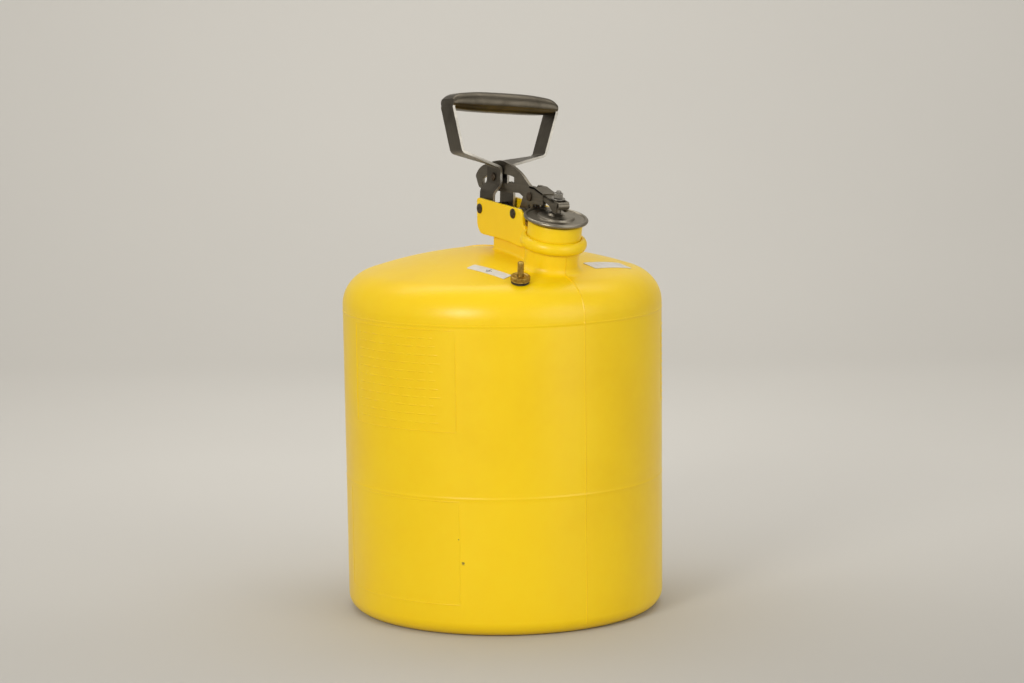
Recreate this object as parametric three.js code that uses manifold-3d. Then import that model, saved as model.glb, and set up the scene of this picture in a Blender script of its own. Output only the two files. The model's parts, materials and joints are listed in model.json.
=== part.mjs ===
// Safety gas can: a round moulded container with a tilted spout neck, a self-closing lid on a
// pivoting arm, a folded strap handle and a slotted lift link. Millimetres, +Z up, +X towards
// the spout, +Y along the pivot pins, origin on the floor under the container's axis.
import * as THREE from 'three';
import { mergeVertices } from 'three/addons/utils/BufferGeometryUtils.js';
import Module from 'manifold-3d';

const wasm = await Module();
wasm.setup();

// ---- driving dimensions -------------------------------------------------------------------
const BODY_R = 152.4;        // outside radius of the container at the shoulder
const FOOT_R = 151.5;        // outside radius just above the foot, the mould's draft
const FOOT_ROUND = 14.4;     // outside radius of the bottom corner
const SIDE_TOP = 289.8;      // where the straight side ends
const KNUCKLE_R = 35.3;      // shoulder radius
const DOME_R = 407.65;       // crown's spherical radius
const DOME_TOP = 343.9;      // crown height on the axis
const WALL = 4;              // container wall
const NECK_X = 91.9;         // where the neck's axis meets the dome
const NECK_Z = 333.4;
const NECK_TILT = 13;        // degrees towards +X
const NECK_R = 25;
const NECK_TOP = 43.1;       // rim, along the neck's axis from the dome
const BORE_R = 21;
const THROAT_R = 19.6;
const FLANGE_SEAT = 28;
const EAR_OUT = 19;          // bracket ears, outer and inner faces
const EAR_IN = 15;
const REAR_PIN = [-7, 381];  // X, Z of the handle's pivot
const FRONT_PIN = [56.3, 380.7];
const PIN_R = 3;
const RUN = 0.1;             // radial running clearance
const GAP = 0.3;             // gap between neighbouring pieces
const STRAP_W = 25.4;
const STRAP_T = 2.4;
const HANDLE_LEAN = 4.6;     // degrees towards +X
const LOOP_TURN = [-5.1, -5, -2.7];   // degrees about X, Y and Z: how the hand loop is set
const LOOP_FOOT = [-4, 0, 421];       // where the loop leaves the legs
const LOOP_LOW = 421;                 // the same place on the upright strap
const CROSS_PIN_REACH = 29.7;
const CROSS_PIN_R = 2;
const LINK_PIN = [66.5, 396.5];
const LINK_PIN_R = 2.5;
const LINK_HALF = 1.5;       // half the link's thickness
const YOKE_IN = 5;           // cheeks of the lid arm, inner and outer faces
const YOKE_OUT = 7;
const SLOT_R = 113;          // the link's arc slot
const SLOT_CENTRE = [6.2, 298];
const SLOT_HALF = 3;
const LID_R = 29.9;
const LID_UNDER = 46;        // lid underside, along the neck's axis
const STUD = [117, -47];     // grounding stud's foot on the dome, X and Y
const STUD_R = 2.9;
const HANDLE_RANGE = [-15, 40];   // degrees of handle swing kept clear in the slot
const LID_RANGE = [0, 40];
const LINK_RATIO = -0.95;    // link's turn on the arm per turn of the arm

const rad = THREE.MathUtils.degToRad;
const PALETTE = {
  yellow: { color: 0xe2b50c, roughness: 0.42, metalness: 0 },
  steel: { color: 0x8d8a82, roughness: 0.38, metalness: 1 },
  rivet: { color: 0x6b6258, roughness: 0.5, metalness: 1 },
  brass: { color: 0xb08d4a, roughness: 0.35, metalness: 1 },
  rubber: { color: 0x23211f, roughness: 0.85, metalness: 0 },
  label: { color: 0xe9e6df, roughness: 0.55, metalness: 0 },
  spring: { color: 0x77746d, roughness: 0.4, metalness: 1 },
};

// ---- helpers ------------------------------------------------------------------------------
// Welds a geometry, drops triangles with no area and makes its faces point outwards.
function welded(geometry) {
  const bare = geometry.clone();
  bare.deleteAttribute('normal');
  bare.deleteAttribute('uv');
  const merged = mergeVertices(bare, 1e-4);
  const place = merged.attributes.position;
  const kept = [];
  const [a, b, c] = [new THREE.Vector3(), new THREE.Vector3(), new THREE.Vector3()];
  let volume = 0;
  for (let i = 0; i < merged.index.count; i += 3) {
    const [p, q, r] = [0, 1, 2].map((k) => merged.index.getX(i + k));
    if (p === q || q === r || r === p) continue;
    kept.push(p, q, r);
    a.fromBufferAttribute(place, p);
    b.fromBufferAttribute(place, q);
    c.fromBufferAttribute(place, r);
    volume += a.dot(b.cross(c));
  }
  if (volume < 0) {
    for (let i = 0; i < kept.length; i += 3) [kept[i], kept[i + 1]] = [kept[i + 1], kept[i]];
  }
  merged.setIndex(kept);
  return merged;
}

function solid(geometry) {
  const g = welded(geometry);
  return new wasm.Manifold(new wasm.Mesh({
    numProp: 3,
    vertProperties: new Float32Array(g.attributes.position.array),
    triVerts: new Uint32Array(g.index.array),
  }));
}

function drawn(manifold) {
  const raw = manifold.getMesh();
  const g = new THREE.BufferGeometry();
  g.setAttribute('position', new THREE.BufferAttribute(new Float32Array(raw.vertProperties), 3));
  g.setIndex(new THREE.BufferAttribute(new Uint32Array(raw.triVerts), 1));
  return g;
}

function mesh(name, shape, finish) {
  const geometry = shape.isBufferGeometry ? welded(shape) : drawn(shape);
  geometry.computeVertexNormals();
  const made = new THREE.Mesh(geometry, new THREE.MeshStandardMaterial(PALETTE[finish]));
  made.name = name;
  return made;
}

// Revolves [radius, distance] points about an axis through origin along direction.
function turned(profile, segments, origin, direction) {
  const g = new THREE.LatheGeometry(profile.map(([r, t]) => new THREE.Vector2(r, t)), segments);
  const up = new THREE.Vector3(0, 1, 0);
  g.applyQuaternion(new THREE.Quaternion().setFromUnitVectors(up, direction));
  return g.translate(origin.x, origin.y, origin.z);
}

// A ring or washer: rectangle section between two radii and two distances.
function ring(inner, outer, low, high, segments, origin, direction) {
  const section = [[inner, low], [outer, low], [outer, high], [inner, high], [inner, low]];
  return turned(section, segments, origin, direction);
}

function rod(radius, low, high, segments, origin, direction) {
  return turned([[0, low], [radius, low], [radius, high], [0, high]], segments, origin, direction);
}

// Rounds the corners of a closed outline given as [x, y, radius].
function rounded(corners, steps = 4) {
  const out = [];
  corners.forEach(([x, y, r = 0], i) => {
    const here = new THREE.Vector2(x, y);
    if (!r) { out.push(here); return; }
    const before = corners[(i + corners.length - 1) % corners.length];
    const after = corners[(i + 1) % corners.length];
    const a = new THREE.Vector2(before[0] - x, before[1] - y).normalize();
    const b = new THREE.Vector2(after[0] - x, after[1] - y).normalize();
    const half = Math.acos(THREE.MathUtils.clamp(a.dot(b), -1, 1)) / 2;
    const reach = r / Math.tan(half);
    const middle = a.clone().add(b).normalize().multiplyScalar(r / Math.sin(half)).add(here);
    const first = a.multiplyScalar(reach).add(here).sub(middle);
    const last = b.multiplyScalar(reach).add(here).sub(middle);
    const start = first.angle();
    let turn = last.angle() - start;
    if (turn > Math.PI) turn -= 2 * Math.PI;
    if (turn < -Math.PI) turn += 2 * Math.PI;
    for (let k = 0; k <= steps; k += 1) {
      const angle = start + (turn * k) / steps;
      out.push(new THREE.Vector2(middle.x + r * Math.cos(angle), middle.y + r * Math.sin(angle)));
    }
  });
  return out;
}

// A flat plate: an X, Z outline between two Y values.
function plate(outline, low, high) {
  const g = new THREE.ExtrudeGeometry(new THREE.Shape(outline), {
    depth: high - low, bevelEnabled: false, curveSegments: 1,
  });
  return g.rotateX(Math.PI / 2).translate(0, high, 0);
}

const Y_AXIS = new THREE.Vector3(0, 1, 0);
const NECK_AXIS = new THREE.Vector3(Math.sin(rad(NECK_TILT)), 0, Math.cos(rad(NECK_TILT)));
const NECK_FOOT = new THREE.Vector3(NECK_X, 0, NECK_Z);
const at = ([x, z]) => new THREE.Vector3(x, 0, z);

// Spout frame: u forwards across the neck, s up along it; gives [X, Z].
function spout(u, s, r) {
  const x = NECK_X + u * NECK_AXIS.z + s * NECK_AXIS.x;
  const z = NECK_Z - u * NECK_AXIS.x + s * NECK_AXIS.z;
  return [x, z, r];
}

function domeHeight(x, y) {
  return DOME_TOP - DOME_R + Math.sqrt(DOME_R ** 2 - x ** 2 - y ** 2);
}

// ---- container ----------------------------------------------------------------------------
// Half section of the container, set in by an offset: foot, side, shoulder and crown.
function bodyProfile(inset) {
  const points = [[0, 4 + inset], [92, 4 + inset], [100, inset]];
  const round = FOOT_ROUND - inset;
  for (let k = 0; k <= 4; k += 1) {
    const angle = (Math.PI / 2) * (k / 4);
    points.push([FOOT_R - FOOT_ROUND + round * Math.sin(angle),
      FOOT_ROUND - round * Math.cos(angle)]);
  }
  const domeLow = DOME_TOP - DOME_R;
  const knuckle = [BODY_R - KNUCKLE_R, SIDE_TOP];
  const meet = Math.atan2(knuckle[0], knuckle[1] - domeLow);
  for (let k = 0; k <= 5; k += 1) {
    const angle = (Math.PI / 2 - meet) * (k / 5);
    points.push([knuckle[0] + (KNUCKLE_R - inset) * Math.cos(angle),
      knuckle[1] + (KNUCKLE_R - inset) * Math.sin(angle)]);
  }
  for (let k = 1; k <= 3; k += 1) {
    const angle = meet * (1 - k / 3);
    points.push([(DOME_R - inset) * Math.sin(angle), domeLow + (DOME_R - inset) * Math.cos(angle)]);
  }
  return points;
}

function container() {
  const upright = new THREE.Vector3(0, 0, 1);
  const floor = new THREE.Vector3();
  const outside = solid(turned(bodyProfile(0), 48, floor, upright));
  const inside = solid(turned(bodyProfile(WALL), 48, floor, upright));
  const neck = solid(turned(
    [[0, -10], [30, -10], [30, 1.2], [26.6, 3.6], [NECK_R, 8], [NECK_R, NECK_TOP], [0, NECK_TOP]],
    32, NECK_FOOT, NECK_AXIS));
  const pedestal = solid(plate(rounded([[9, 335, 0], [77, 330, 0], [77, 352.7, 0], [9, 355.4, 2]]), -14.5, 14.5));
  const bore = solid(turned(
    [[0, -30], [THROAT_R, -30], [THROAT_R, FLANGE_SEAT], [BORE_R, FLANGE_SEAT], [BORE_R, 60], [0, 60]],
    32, NECK_FOOT, NECK_AXIS));
  const studHole = solid(rod(3.25, -20, 20, 12, studFoot(), studAxis()));
  return outside.add(neck).add(pedestal).subtract(inside).subtract(bore).subtract(studHole);
}

// ---- bracket ------------------------------------------------------------------------------
function bracket() {
  const ear = rounded([
    [-13.5, 391.3, 3], [67, 385.2, 5], [73, 380, 4], [73, 371.5, 0], [77.4, 370, 0],
    [77.4, 350.4, 0], [66, 350.4, 0], [58, 351.6, 0], [45, 353.6, 0], [25, 355.4, 0], [-13.5, 357.4, 12],
  ]);
  const floor = plate([[-9, 357.2], [68, 353.5], [74, 354.4], [74, 358], [-9, 361.6]]
    .map(([x, z]) => new THREE.Vector2(x, z)), -EAR_OUT + 1, EAR_OUT - 1);
  const collar = [];
  for (let k = 0; k <= 6; k += 1) {
    const angle = -Math.PI / 2 + Math.PI * (k / 6);
    collar.push([26 + 5 * Math.cos(angle), 24 + 6 * Math.sin(angle)]);
  }
  const hoop = solid(turned([[24, 18], ...collar, [24, 30], [24, 18]], 32, NECK_FOOT, NECK_AXIS));
  let made = solid(plate(ear, -EAR_OUT, -EAR_IN))
    .add(solid(plate(ear, EAR_IN, EAR_OUT)))
    .add(solid(floor))
    .add(hoop)
    .subtract(solid(rod(NECK_R + GAP, -5, 60, 32, NECK_FOOT, NECK_AXIS)));
  for (const pin of [REAR_PIN, FRONT_PIN]) {
    made = made.subtract(solid(rod(PIN_R + RUN, -30, 30, 20, at(pin), Y_AXIS)));
  }
  return made;
}

function pivotPin(place) {
  const head = 4.8;
  const [under, over] = [EAR_OUT + GAP, EAR_OUT + GAP + 1.5];
  return turned([
    [0, -over], [3.4, -over], [head, -over + 0.6], [head, -under], [PIN_R, -under],
    [PIN_R, under], [head, under], [head, over - 0.6], [3.4, over], [0, over],
  ], 20, at(place), Y_AXIS);
}

// ---- handle -------------------------------------------------------------------------------
function strapLine() {
  const half = [
    [11, 371, 0], [11, 396.5, 5], [3.85, 404.5, 5], [3.85, 421.6, 3.5], [43.4, 431.6, 5],
    [55.3, 475.6, 3.5], [44, 479.2, 0], [0, 479.8, 0],
  ];
  const mirrored = half.slice(0, -1).reverse().map(([y, z, r]) => [-y, z, r]);
  return rounded([...half, ...mirrored], 4);
}

// Sets an upright handle piece in place: the legs lean as one, and the hand loop above them
// is turned a little further, as it was bent.
function posed(geometry) {
  const lean = new THREE.Matrix4().makeTranslation(REAR_PIN[0], 0, REAR_PIN[1])
    .multiply(new THREE.Matrix4().makeRotationY(rad(HANDLE_LEAN)))
    .multiply(new THREE.Matrix4().makeTranslation(-REAR_PIN[0], 0, -REAR_PIN[1]));
  const loop = new THREE.Matrix4().makeTranslation(...LOOP_FOOT)
    .multiply(new THREE.Matrix4().makeRotationFromEuler(
      new THREE.Euler(...LOOP_TURN.map(rad), 'ZXY')))
    .multiply(new THREE.Matrix4().makeTranslation(-REAR_PIN[0], 0, -LOOP_LOW));
  const place = geometry.attributes.position;
  const point = new THREE.Vector3();
  for (let i = 0; i < place.count; i += 1) {
    point.fromBufferAttribute(place, i);
    const onLoop = point.z > 440 || (Math.abs(point.y) > 10 && point.z > 415);
    point.applyMatrix4(onLoop ? loop : lean);
    place.setXYZ(i, point.x, point.y, point.z);
  }
  return geometry;
}

// The strap as one band, grown on every face by a margin.
function strapBand(margin) {
  const line = strapLine();
  const left = [];
  const right = [];
  line.forEach((point, i) => {
    const before = line[Math.max(i - 1, 0)];
    const after = line[Math.min(i + 1, line.length - 1)];
    const inward = point.clone().sub(before).normalize();
    const outward = after.clone().sub(point).normalize();
    const along = inward.add(outward).normalize();
    const side = new THREE.Vector2(-along.y, along.x).multiplyScalar(STRAP_T / 2 + margin);
    left.push(point.clone().add(side));
    right.push(point.clone().sub(side));
  });
  const band = new THREE.Shape([...left, ...right.reverse()]);
  const width = STRAP_W + 2 * margin;
  const g = new THREE.ExtrudeGeometry(band, { depth: width, bevelEnabled: false });
  g.applyMatrix4(new THREE.Matrix4().makeBasis(
    new THREE.Vector3(0, 1, 0), new THREE.Vector3(0, 0, 1), new THREE.Vector3(1, 0, 0)));
  g.translate(REAR_PIN[0] - width / 2, 0, 0);
  return solid(posed(g));
}

function strap() {
  return strapBand(0)
    .subtract(solid(rod(PIN_R + RUN, -30, 30, 20, at(REAR_PIN), Y_AXIS)))
    .subtract(solid(rod(CROSS_PIN_R + RUN, -30, 30, 16, at(crossPinPlace()), Y_AXIS)));
}

// The grip is a hollow almond shell round the strap's top bar, drawn down to the strap's corners.
// Each station gives the distance along it, its top, its bottom and half its width.
const GRIP = [
  [0, 489.6, 470.3, 14.8], [14, 489.5, 470.3, 14.8], [28, 489, 470.4, 14.8],
  [40, 488, 470.8, 14.7], [47, 486.6, 471.3, 14.6], [52, 484.6, 472, 14.4],
  [55.6, 480.8, 473.4, 14],
];

function almond(inset, last) {
  const half = GRIP.slice(0, last);
  const stations = [...half.slice(1).reverse().map(([y, ...rest]) => [-y, ...rest]), ...half];
  const around = 16;
  const points = [];
  const faces = [];
  stations.forEach(([y, high, low, wide]) => {
    const halfHeight = (high - low) / 2 - inset;
    const reach = wide - inset - halfHeight * 0.9;
    for (let k = 0; k < around; k += 1) {
      const angle = (2 * Math.PI * k) / around;
      const [c, s] = [Math.cos(angle), Math.sin(angle)];
      points.push(REAR_PIN[0] + Math.sign(Math.round(c * 1e6)) * reach + c * halfHeight * 0.9, y,
        (high + low) / 2 + halfHeight * s);
    }
  });
  const end = (stations.length - 1) * around;
  for (let k = 0; k < around; k += 1) {
    const n = (k + 1) % around;
    for (let i = 0; i < stations.length - 1; i += 1) {
      const [p, q] = [i * around, (i + 1) * around];
      faces.push(p + k, p + n, q + k, p + n, q + n, q + k);
    }
    if (k > 0 && k < around - 1) faces.push(0, k + 1, k, end, end + k, end + k + 1);
  }
  const g = new THREE.BufferGeometry();
  g.setAttribute('position', new THREE.Float32BufferAttribute(points, 3));
  g.setIndex(faces);
  return solid(posed(g));
}

function grip() {
  return almond(0, GRIP.length).subtract(almond(1, GRIP.length - 1)).subtract(strapBand(GAP));
}

function crossPinPlace() {
  return [REAR_PIN[0] + CROSS_PIN_REACH * Math.sin(rad(HANDLE_LEAN)),
    REAR_PIN[1] + CROSS_PIN_REACH * Math.cos(rad(HANDLE_LEAN))];
}

function crossPin() {
  return turned([
    [0, -6.7], [3, -6.7], [4, -6.1], [4, -5.35], [CROSS_PIN_R, -5.35], [CROSS_PIN_R, 5.35],
    [4, 5.35], [4, 6.1], [3, 6.7], [0, 6.7],
  ], 16, at(crossPinPlace()), Y_AXIS);
}

// ---- lift link ----------------------------------------------------------------------------
// Turns [X, Z] about a centre; positive lifts +X towards +Z.
function swung([x, z], [cx, cz], degrees) {
  const [c, s] = [Math.cos(rad(degrees)), Math.sin(rad(degrees))];
  return [cx + (x - cx) * c - (z - cz) * s, cz + (x - cx) * s + (z - cz) * c];
}

// Everywhere the handle's cross pin can be, seen from the link, as the outline that clears it.
function pinWindow() {
  const places = [];
  for (let i = 0; i <= 11; i += 1) {
    const swing = HANDLE_RANGE[0] + ((HANDLE_RANGE[1] - HANDLE_RANGE[0]) * i) / 11;
    for (let j = 0; j <= 8; j += 1) {
      const lift = LID_RANGE[0] + ((LID_RANGE[1] - LID_RANGE[0]) * j) / 8;
      const pin = swung(crossPinPlace(), REAR_PIN, swing);
      const onArm = swung(pin, FRONT_PIN, -lift);
      places.push(swung(onArm, LINK_PIN, -LINK_RATIO * lift));
    }
  }
  const cloud = [];
  for (const [x, z] of places) {
    for (let k = 0; k < 16; k += 1) {
      const angle = (2 * Math.PI * k) / 16;
      const reach = CROSS_PIN_R + 0.45;
      cloud.push([x + reach * Math.cos(angle), z + reach * Math.sin(angle)]);
    }
  }
  return hullOutline(cloud);
}

// Convex outline round a set of [x, z] points.
function hullOutline(cloud) {
  const sorted = [...cloud].sort((p, q) => p[0] - q[0] || p[1] - q[1]);
  const side = (list) => {
    const kept = [];
    for (const p of list) {
      while (kept.length > 1) {
        const [a, b] = kept.slice(-2);
        const turn = (b[0] - a[0]) * (p[1] - a[1]) - (b[1] - a[1]) * (p[0] - a[0]);
        if (turn > 1e-3) break;
        kept.pop();
      }
      kept.push(p);
    }
    return kept.slice(0, -1);
  };
  return [...side(sorted), ...side([...sorted].reverse())].map(([x, z]) => new THREE.Vector2(x, z));
}

function arcSlot() {
  const [low, high] = [-0.355, 0.197];
  const outline = [];
  for (let k = 0; k <= 10; k += 1) {
    const angle = low + ((high - low) * k) / 10;
    outline.push([angle, SLOT_R + SLOT_HALF]);
  }
  for (let k = 10; k >= 0; k -= 1) {
    const angle = low + ((high - low) * k) / 10;
    outline.push([angle, SLOT_R - SLOT_HALF]);
  }
  return outline.map(([a, r]) => new THREE.Vector2(
    SLOT_CENTRE[0] + r * Math.sin(a), SLOT_CENTRE[1] + r * Math.cos(a)));
}

function link() {
  const top = new THREE.SplineCurve([
    [-44.6, 411], [-38, 416.6], [-27, 421], [0.7, 426.2], [22.2, 422.9], [40.8, 416], [57, 405.8],
    [64.5, 403.5],
  ].map(([x, z]) => new THREE.Vector2(x, z))).getPoints(18);
  const nose = [];
  for (let k = 0; k <= 8; k += 1) {
    const angle = rad(95 - 24.4 * k);
    nose.push(new THREE.Vector2(
      LINK_PIN[0] + 7.2 * Math.cos(angle), LINK_PIN[1] + 7.2 * Math.sin(angle)));
  }
  const under = rounded([[50, 392.5, 0], [38, 397.6, 0], [-34, 396.6, 0], [-40.2, 399, 0],
    [-45.6, 408.6, 0]]);
  const outline = [...top, ...nose, ...under];
  return solid(plate(outline, -LINK_HALF, LINK_HALF))
    .subtract(solid(plate(arcSlot(), -5, 5)))
    .subtract(solid(plate(pinWindow(), -5, 5)))
    .subtract(solid(rod(LINK_PIN_R + RUN, -5, 5, 16, at(LINK_PIN), Y_AXIS)));
}

// ---- lid arm and lid ----------------------------------------------------------------------
function lidArm() {
  const cheek = rounded([
    [47.8, 372.2, 8], [65, 372.2, 7], [66.5, 383.5, 2], [71.5, 385, 2], [72.5, 390, 1],
    [90.5, 390, 0], [90.5, 400.4, 0], [82, 403.2, 0], [76, 405.4, 0], [61, 406.6, 5],
    [53.5, 395, 6], [47.8, 385, 5],
  ], 3);
  const hood = [
    [66, 404.3], [76, 403.4], [82, 401.2], [91.6, 398.4], [91.6, 400.4], [82, 403.2], [76, 405.4],
    [66, 406.2],
  ];
  const linkRoom = [[60, 400.6], [74, 400.6], [74, 410], [60, 410]];
  const tongue = [spout(-19, 62.3), spout(9.5, 62.3), spout(9.5, 64.3), spout(-19, 64.3)];
  const rail = rounded([
    spout(-19, 64.3, 0), spout(-19, 59.6, 0), spout(-4, 57.5, 0), spout(2.5, 54, 1.5),
    spout(8.6, 54, 2), spout(9.5, 64.3, 0),
  ], 3);
  const flat = (corners) => corners.map(([x, z]) => new THREE.Vector2(x, z));
  let made = solid(plate(cheek, YOKE_IN, YOKE_OUT))
    .add(solid(plate(cheek, -YOKE_OUT, -YOKE_IN)))
    .add(solid(plate(flat(hood), -YOKE_OUT, YOKE_OUT))
      .subtract(solid(plate(flat(linkRoom), -2.6, 2.6))))
    .add(solid(plate(flat(tongue), -6.4, 6.4)))
    .add(solid(plate(rail, 4.6, 6.4)))
    .add(solid(plate(rail, -6.4, -4.6)));
  const [barrelX, barrelZ] = spout(8.8, 60.7);
  made = made.add(solid(rod(3.6, -5.6, 5.6, 16, at([barrelX, barrelZ]), Y_AXIS)));
  made = made.subtract(solid(rod(PIN_R + RUN, -30, 30, 20, at(FRONT_PIN), Y_AXIS)));
  made = made.subtract(solid(rod(LINK_PIN_R + RUN, -30, 30, 16, at(LINK_PIN), Y_AXIS)));
  made = made.subtract(solid(rod(1.8, -30, 30, 12, at([65.6, 387.4]), Y_AXIS)));
  return made.subtract(solid(rod(2.7, 55, 75, 16, NECK_FOOT, NECK_AXIS)));
}

function lid() {
  return turned([
    [2.7, LID_UNDER], [26, LID_UNDER], [27, 44.9], [29.2, 45.2], [LID_R, 46.8],
    [29.2, 48.4], [27, 48.7], [26, 47.6], [18, 47.6], [15.5, 49.6], [8, 49.9],
    [6, 51.6], [2.7, 51.6], [2.7, LID_UNDER],
  ], 32, NECK_FOOT, NECK_AXIS);
}

function lidBolt() {
  return turned([
    [0, 38.3], [4.2, 38.3], [5, 39.1], [5, 41.3], [2.5, 41.3], [2.5, 72], [2, 72.6], [0, 72.6],
  ], 20, NECK_FOOT, NECK_AXIS);
}

function hexNut(flats, bore, low, high, origin, direction) {
  const hex = turned([[0, low], [flats / Math.sqrt(3), low], [flats / Math.sqrt(3), high], [0, high]],
    6, origin, direction);
  return solid(hex).subtract(solid(rod(bore, low - 1, high + 1, 16, origin, direction)));
}

// Closing spring: a coil round the front pin with one leg forwards and one back.
function lidSpring() {
  const [cx, cz] = FRONT_PIN;
  const half = 3.7;
  const line = [new THREE.Vector3(cx - 13, -half, cz - 6.1), new THREE.Vector3(cx - 5, -half, cz - 6.1)];
  const turns = 3.4;
  const steps = 34;
  for (let k = 0; k <= steps; k += 1) {
    const angle = -Math.PI / 2 + (2 * Math.PI * turns * k) / steps;
    line.push(new THREE.Vector3(cx + 6 * Math.cos(angle), -half + (2 * half * k) / steps,
      cz + 6 * Math.sin(angle)));
  }
  const end = line[line.length - 1];
  const before = line[line.length - 2];
  const away = end.clone().sub(before).setY(0).normalize().multiplyScalar(8);
  line.push(end.clone().add(away));
  const path = new THREE.CatmullRomCurve3(line, false, 'centripetal');
  const wire = new THREE.Shape();
  wire.absarc(0, 0, 0.9, 0, 2 * Math.PI, false);
  return new THREE.ExtrudeGeometry(wire, {
    extrudePath: path, steps: 48, curveSegments: 3, bevelEnabled: false,
  });
}

// ---- grounding post -----------------------------------------------------------------------
function studFoot() {
  return new THREE.Vector3(STUD[0], STUD[1], domeHeight(STUD[0], STUD[1]));
}

function studAxis() {
  const foot = studFoot();
  return foot.setZ(foot.z - (DOME_TOP - DOME_R)).normalize();
}

function thumbNut() {
  const teeth = 28;
  const outline = [];
  for (let k = 0; k < teeth; k += 1) {
    const angle = (2 * Math.PI * k) / teeth;
    const r = k % 2 ? 9 : 8.5;
    outline.push(new THREE.Vector2(r * Math.cos(angle), r * Math.sin(angle)));
  }
  const rim = new THREE.ExtrudeGeometry(new THREE.Shape(outline), { depth: 4.5, bevelEnabled: false });
  const turn = new THREE.Quaternion().setFromUnitVectors(new THREE.Vector3(0, 0, 1), studAxis());
  const lift = studFoot().addScaledVector(studAxis(), 2.3);
  rim.applyQuaternion(turn).translate(lift.x, lift.y, lift.z);
  return solid(rim).subtract(solid(rod(STUD_R + RUN, 0, 20, 20, studFoot(), studAxis())));
}

// ---- labels -------------------------------------------------------------------------------
// A thin sheet laid on the dome: centre, direction of its long side in degrees, length, width.
function domeLabel(centre, direction, length, width) {
  const [across, along] = [3, 9];
  const points = [];
  const faces = [];
  const low = DOME_TOP - DOME_R;
  for (const lift of [0.3, 0.75]) {
    for (let i = 0; i <= along; i += 1) {
      for (let j = 0; j <= across; j += 1) {
        const a = (i / along - 0.5) * length;
        const b = (j / across - 0.5) * width;
        const x = centre[0] + a * Math.cos(rad(direction)) - b * Math.sin(rad(direction));
        const y = centre[1] + a * Math.sin(rad(direction)) + b * Math.cos(rad(direction));
        const spot = new THREE.Vector3(x, y, domeHeight(x, y) - low);
        spot.setLength(DOME_R + lift);
        points.push(spot.x, spot.y, spot.z + low);
      }
    }
  }
  const row = across + 1;
  const sheet = (along + 1) * row;
  const quad = (p, q, r, s) => faces.push(p, q, r, p, r, s);
  for (let i = 0; i < along; i += 1) {
    for (let j = 0; j < across; j += 1) {
      const p = i * row + j;
      quad(p, p + 1, p + row + 1, p + row);
      quad(sheet + p, sheet + p + row, sheet + p + row + 1, sheet + p + 1);
    }
    const [near, far] = [i * row, i * row + across];
    quad(near, near + row, sheet + near + row, sheet + near);
    quad(far, sheet + far, sheet + far + row, far + row);
  }
  for (let j = 0; j < across; j += 1) {
    const end = along * row + j;
    quad(j, sheet + j, sheet + j + 1, j + 1);
    quad(end, end + 1, sheet + end + 1, sheet + end);
  }
  const g = new THREE.BufferGeometry();
  g.setAttribute('position', new THREE.Float32BufferAttribute(points, 3));
  g.setIndex(faces);
  return g;
}

// ---- flame arrester -----------------------------------------------------------------------
// A perforated tube that hangs in the neck from its flange.
function arresterTube() {
  let made = solid(ring(17, 18, -78, FLANGE_SEAT - GAP, 20, NECK_FOOT, NECK_AXIS));
  const across = new THREE.Vector3(0, 1, 0);
  const rows = 4;
  const columns = 3;
  for (let i = 0; i < rows; i += 1) {
    for (let k = 0; k < columns; k += 1) {
      const turn = rad((180 * (k + 0.5 * (i % 2))) / columns + 9);
      const direction = across.clone().applyAxisAngle(NECK_AXIS, turn);
      const middle = NECK_FOOT.clone().addScaledVector(NECK_AXIS, -64 + 14 * i);
      made = made.subtract(solid(rod(3.5, -25, 25, 5, middle, direction)));
    }
  }
  return made;
}

// ---- assembly -----------------------------------------------------------------------------
const can = new THREE.Group();
can.name = 'safety_can';
const add = (name, shape, finish) => can.add(mesh(name, shape, finish));

add('container', container(), 'yellow');
add('handle_bracket', bracket(), 'yellow');
add('arrester_tube', arresterTube(), 'steel');
add('arrester_flange', ring(17, 20.7, FLANGE_SEAT + GAP, 30, 32, NECK_FOOT, NECK_AXIS), 'steel');
add('arrester_cap', rod(17.6, -80, -78.3, 24, NECK_FOOT, NECK_AXIS), 'steel');

add('rear_pivot_pin', pivotPin(REAR_PIN), 'rivet');
add('front_pivot_pin', pivotPin(FRONT_PIN), 'rivet');
for (const [side, sign] of [['near', -1], ['far', 1]]) {
  const [a, b] = [12.5 * sign, 14.7 * sign].sort((p, q) => p - q);
  add(`rear_washer_${side}`, ring(PIN_R + RUN, 6, a, b, 20, at(REAR_PIN), Y_AXIS), 'steel');
  const [c, d] = [(YOKE_OUT + GAP) * sign, 14.7 * sign].sort((p, q) => p - q);
  add(`front_washer_${side}`, ring(PIN_R + RUN, 5, c, d, 20, at(FRONT_PIN), Y_AXIS), 'steel');
}
add('rear_spacer', ring(PIN_R + RUN, 5, -9.5, 9.5, 20, at(REAR_PIN), Y_AXIS), 'steel');

add('handle_strap', strap(), 'steel');
add('handle_grip', grip(), 'steel');
add('handle_cross_pin', crossPin(), 'rivet');

add('lift_link', link(), 'steel');
add('lid_arm', lidArm(), 'steel');
add('link_pin', turned([
  [0, -8.9], [3.2, -8.9], [4.2, -8.3], [4.2, -7.3], [LINK_PIN_R, -7.3], [LINK_PIN_R, 7.3],
  [4.2, 7.3], [4.2, 8.3], [3.2, 8.9], [0, 8.9],
], 16, at(LINK_PIN), Y_AXIS), 'rivet');
add('link_spacer_near', ring(LINK_PIN_R + RUN, 4.4, -4.7, -1.8, 16, at(LINK_PIN), Y_AXIS), 'steel');
add('link_spacer_far', ring(LINK_PIN_R + RUN, 4.4, 1.8, 4.7, 16, at(LINK_PIN), Y_AXIS), 'steel');
add('lid_spring', lidSpring(), 'spring');

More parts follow.
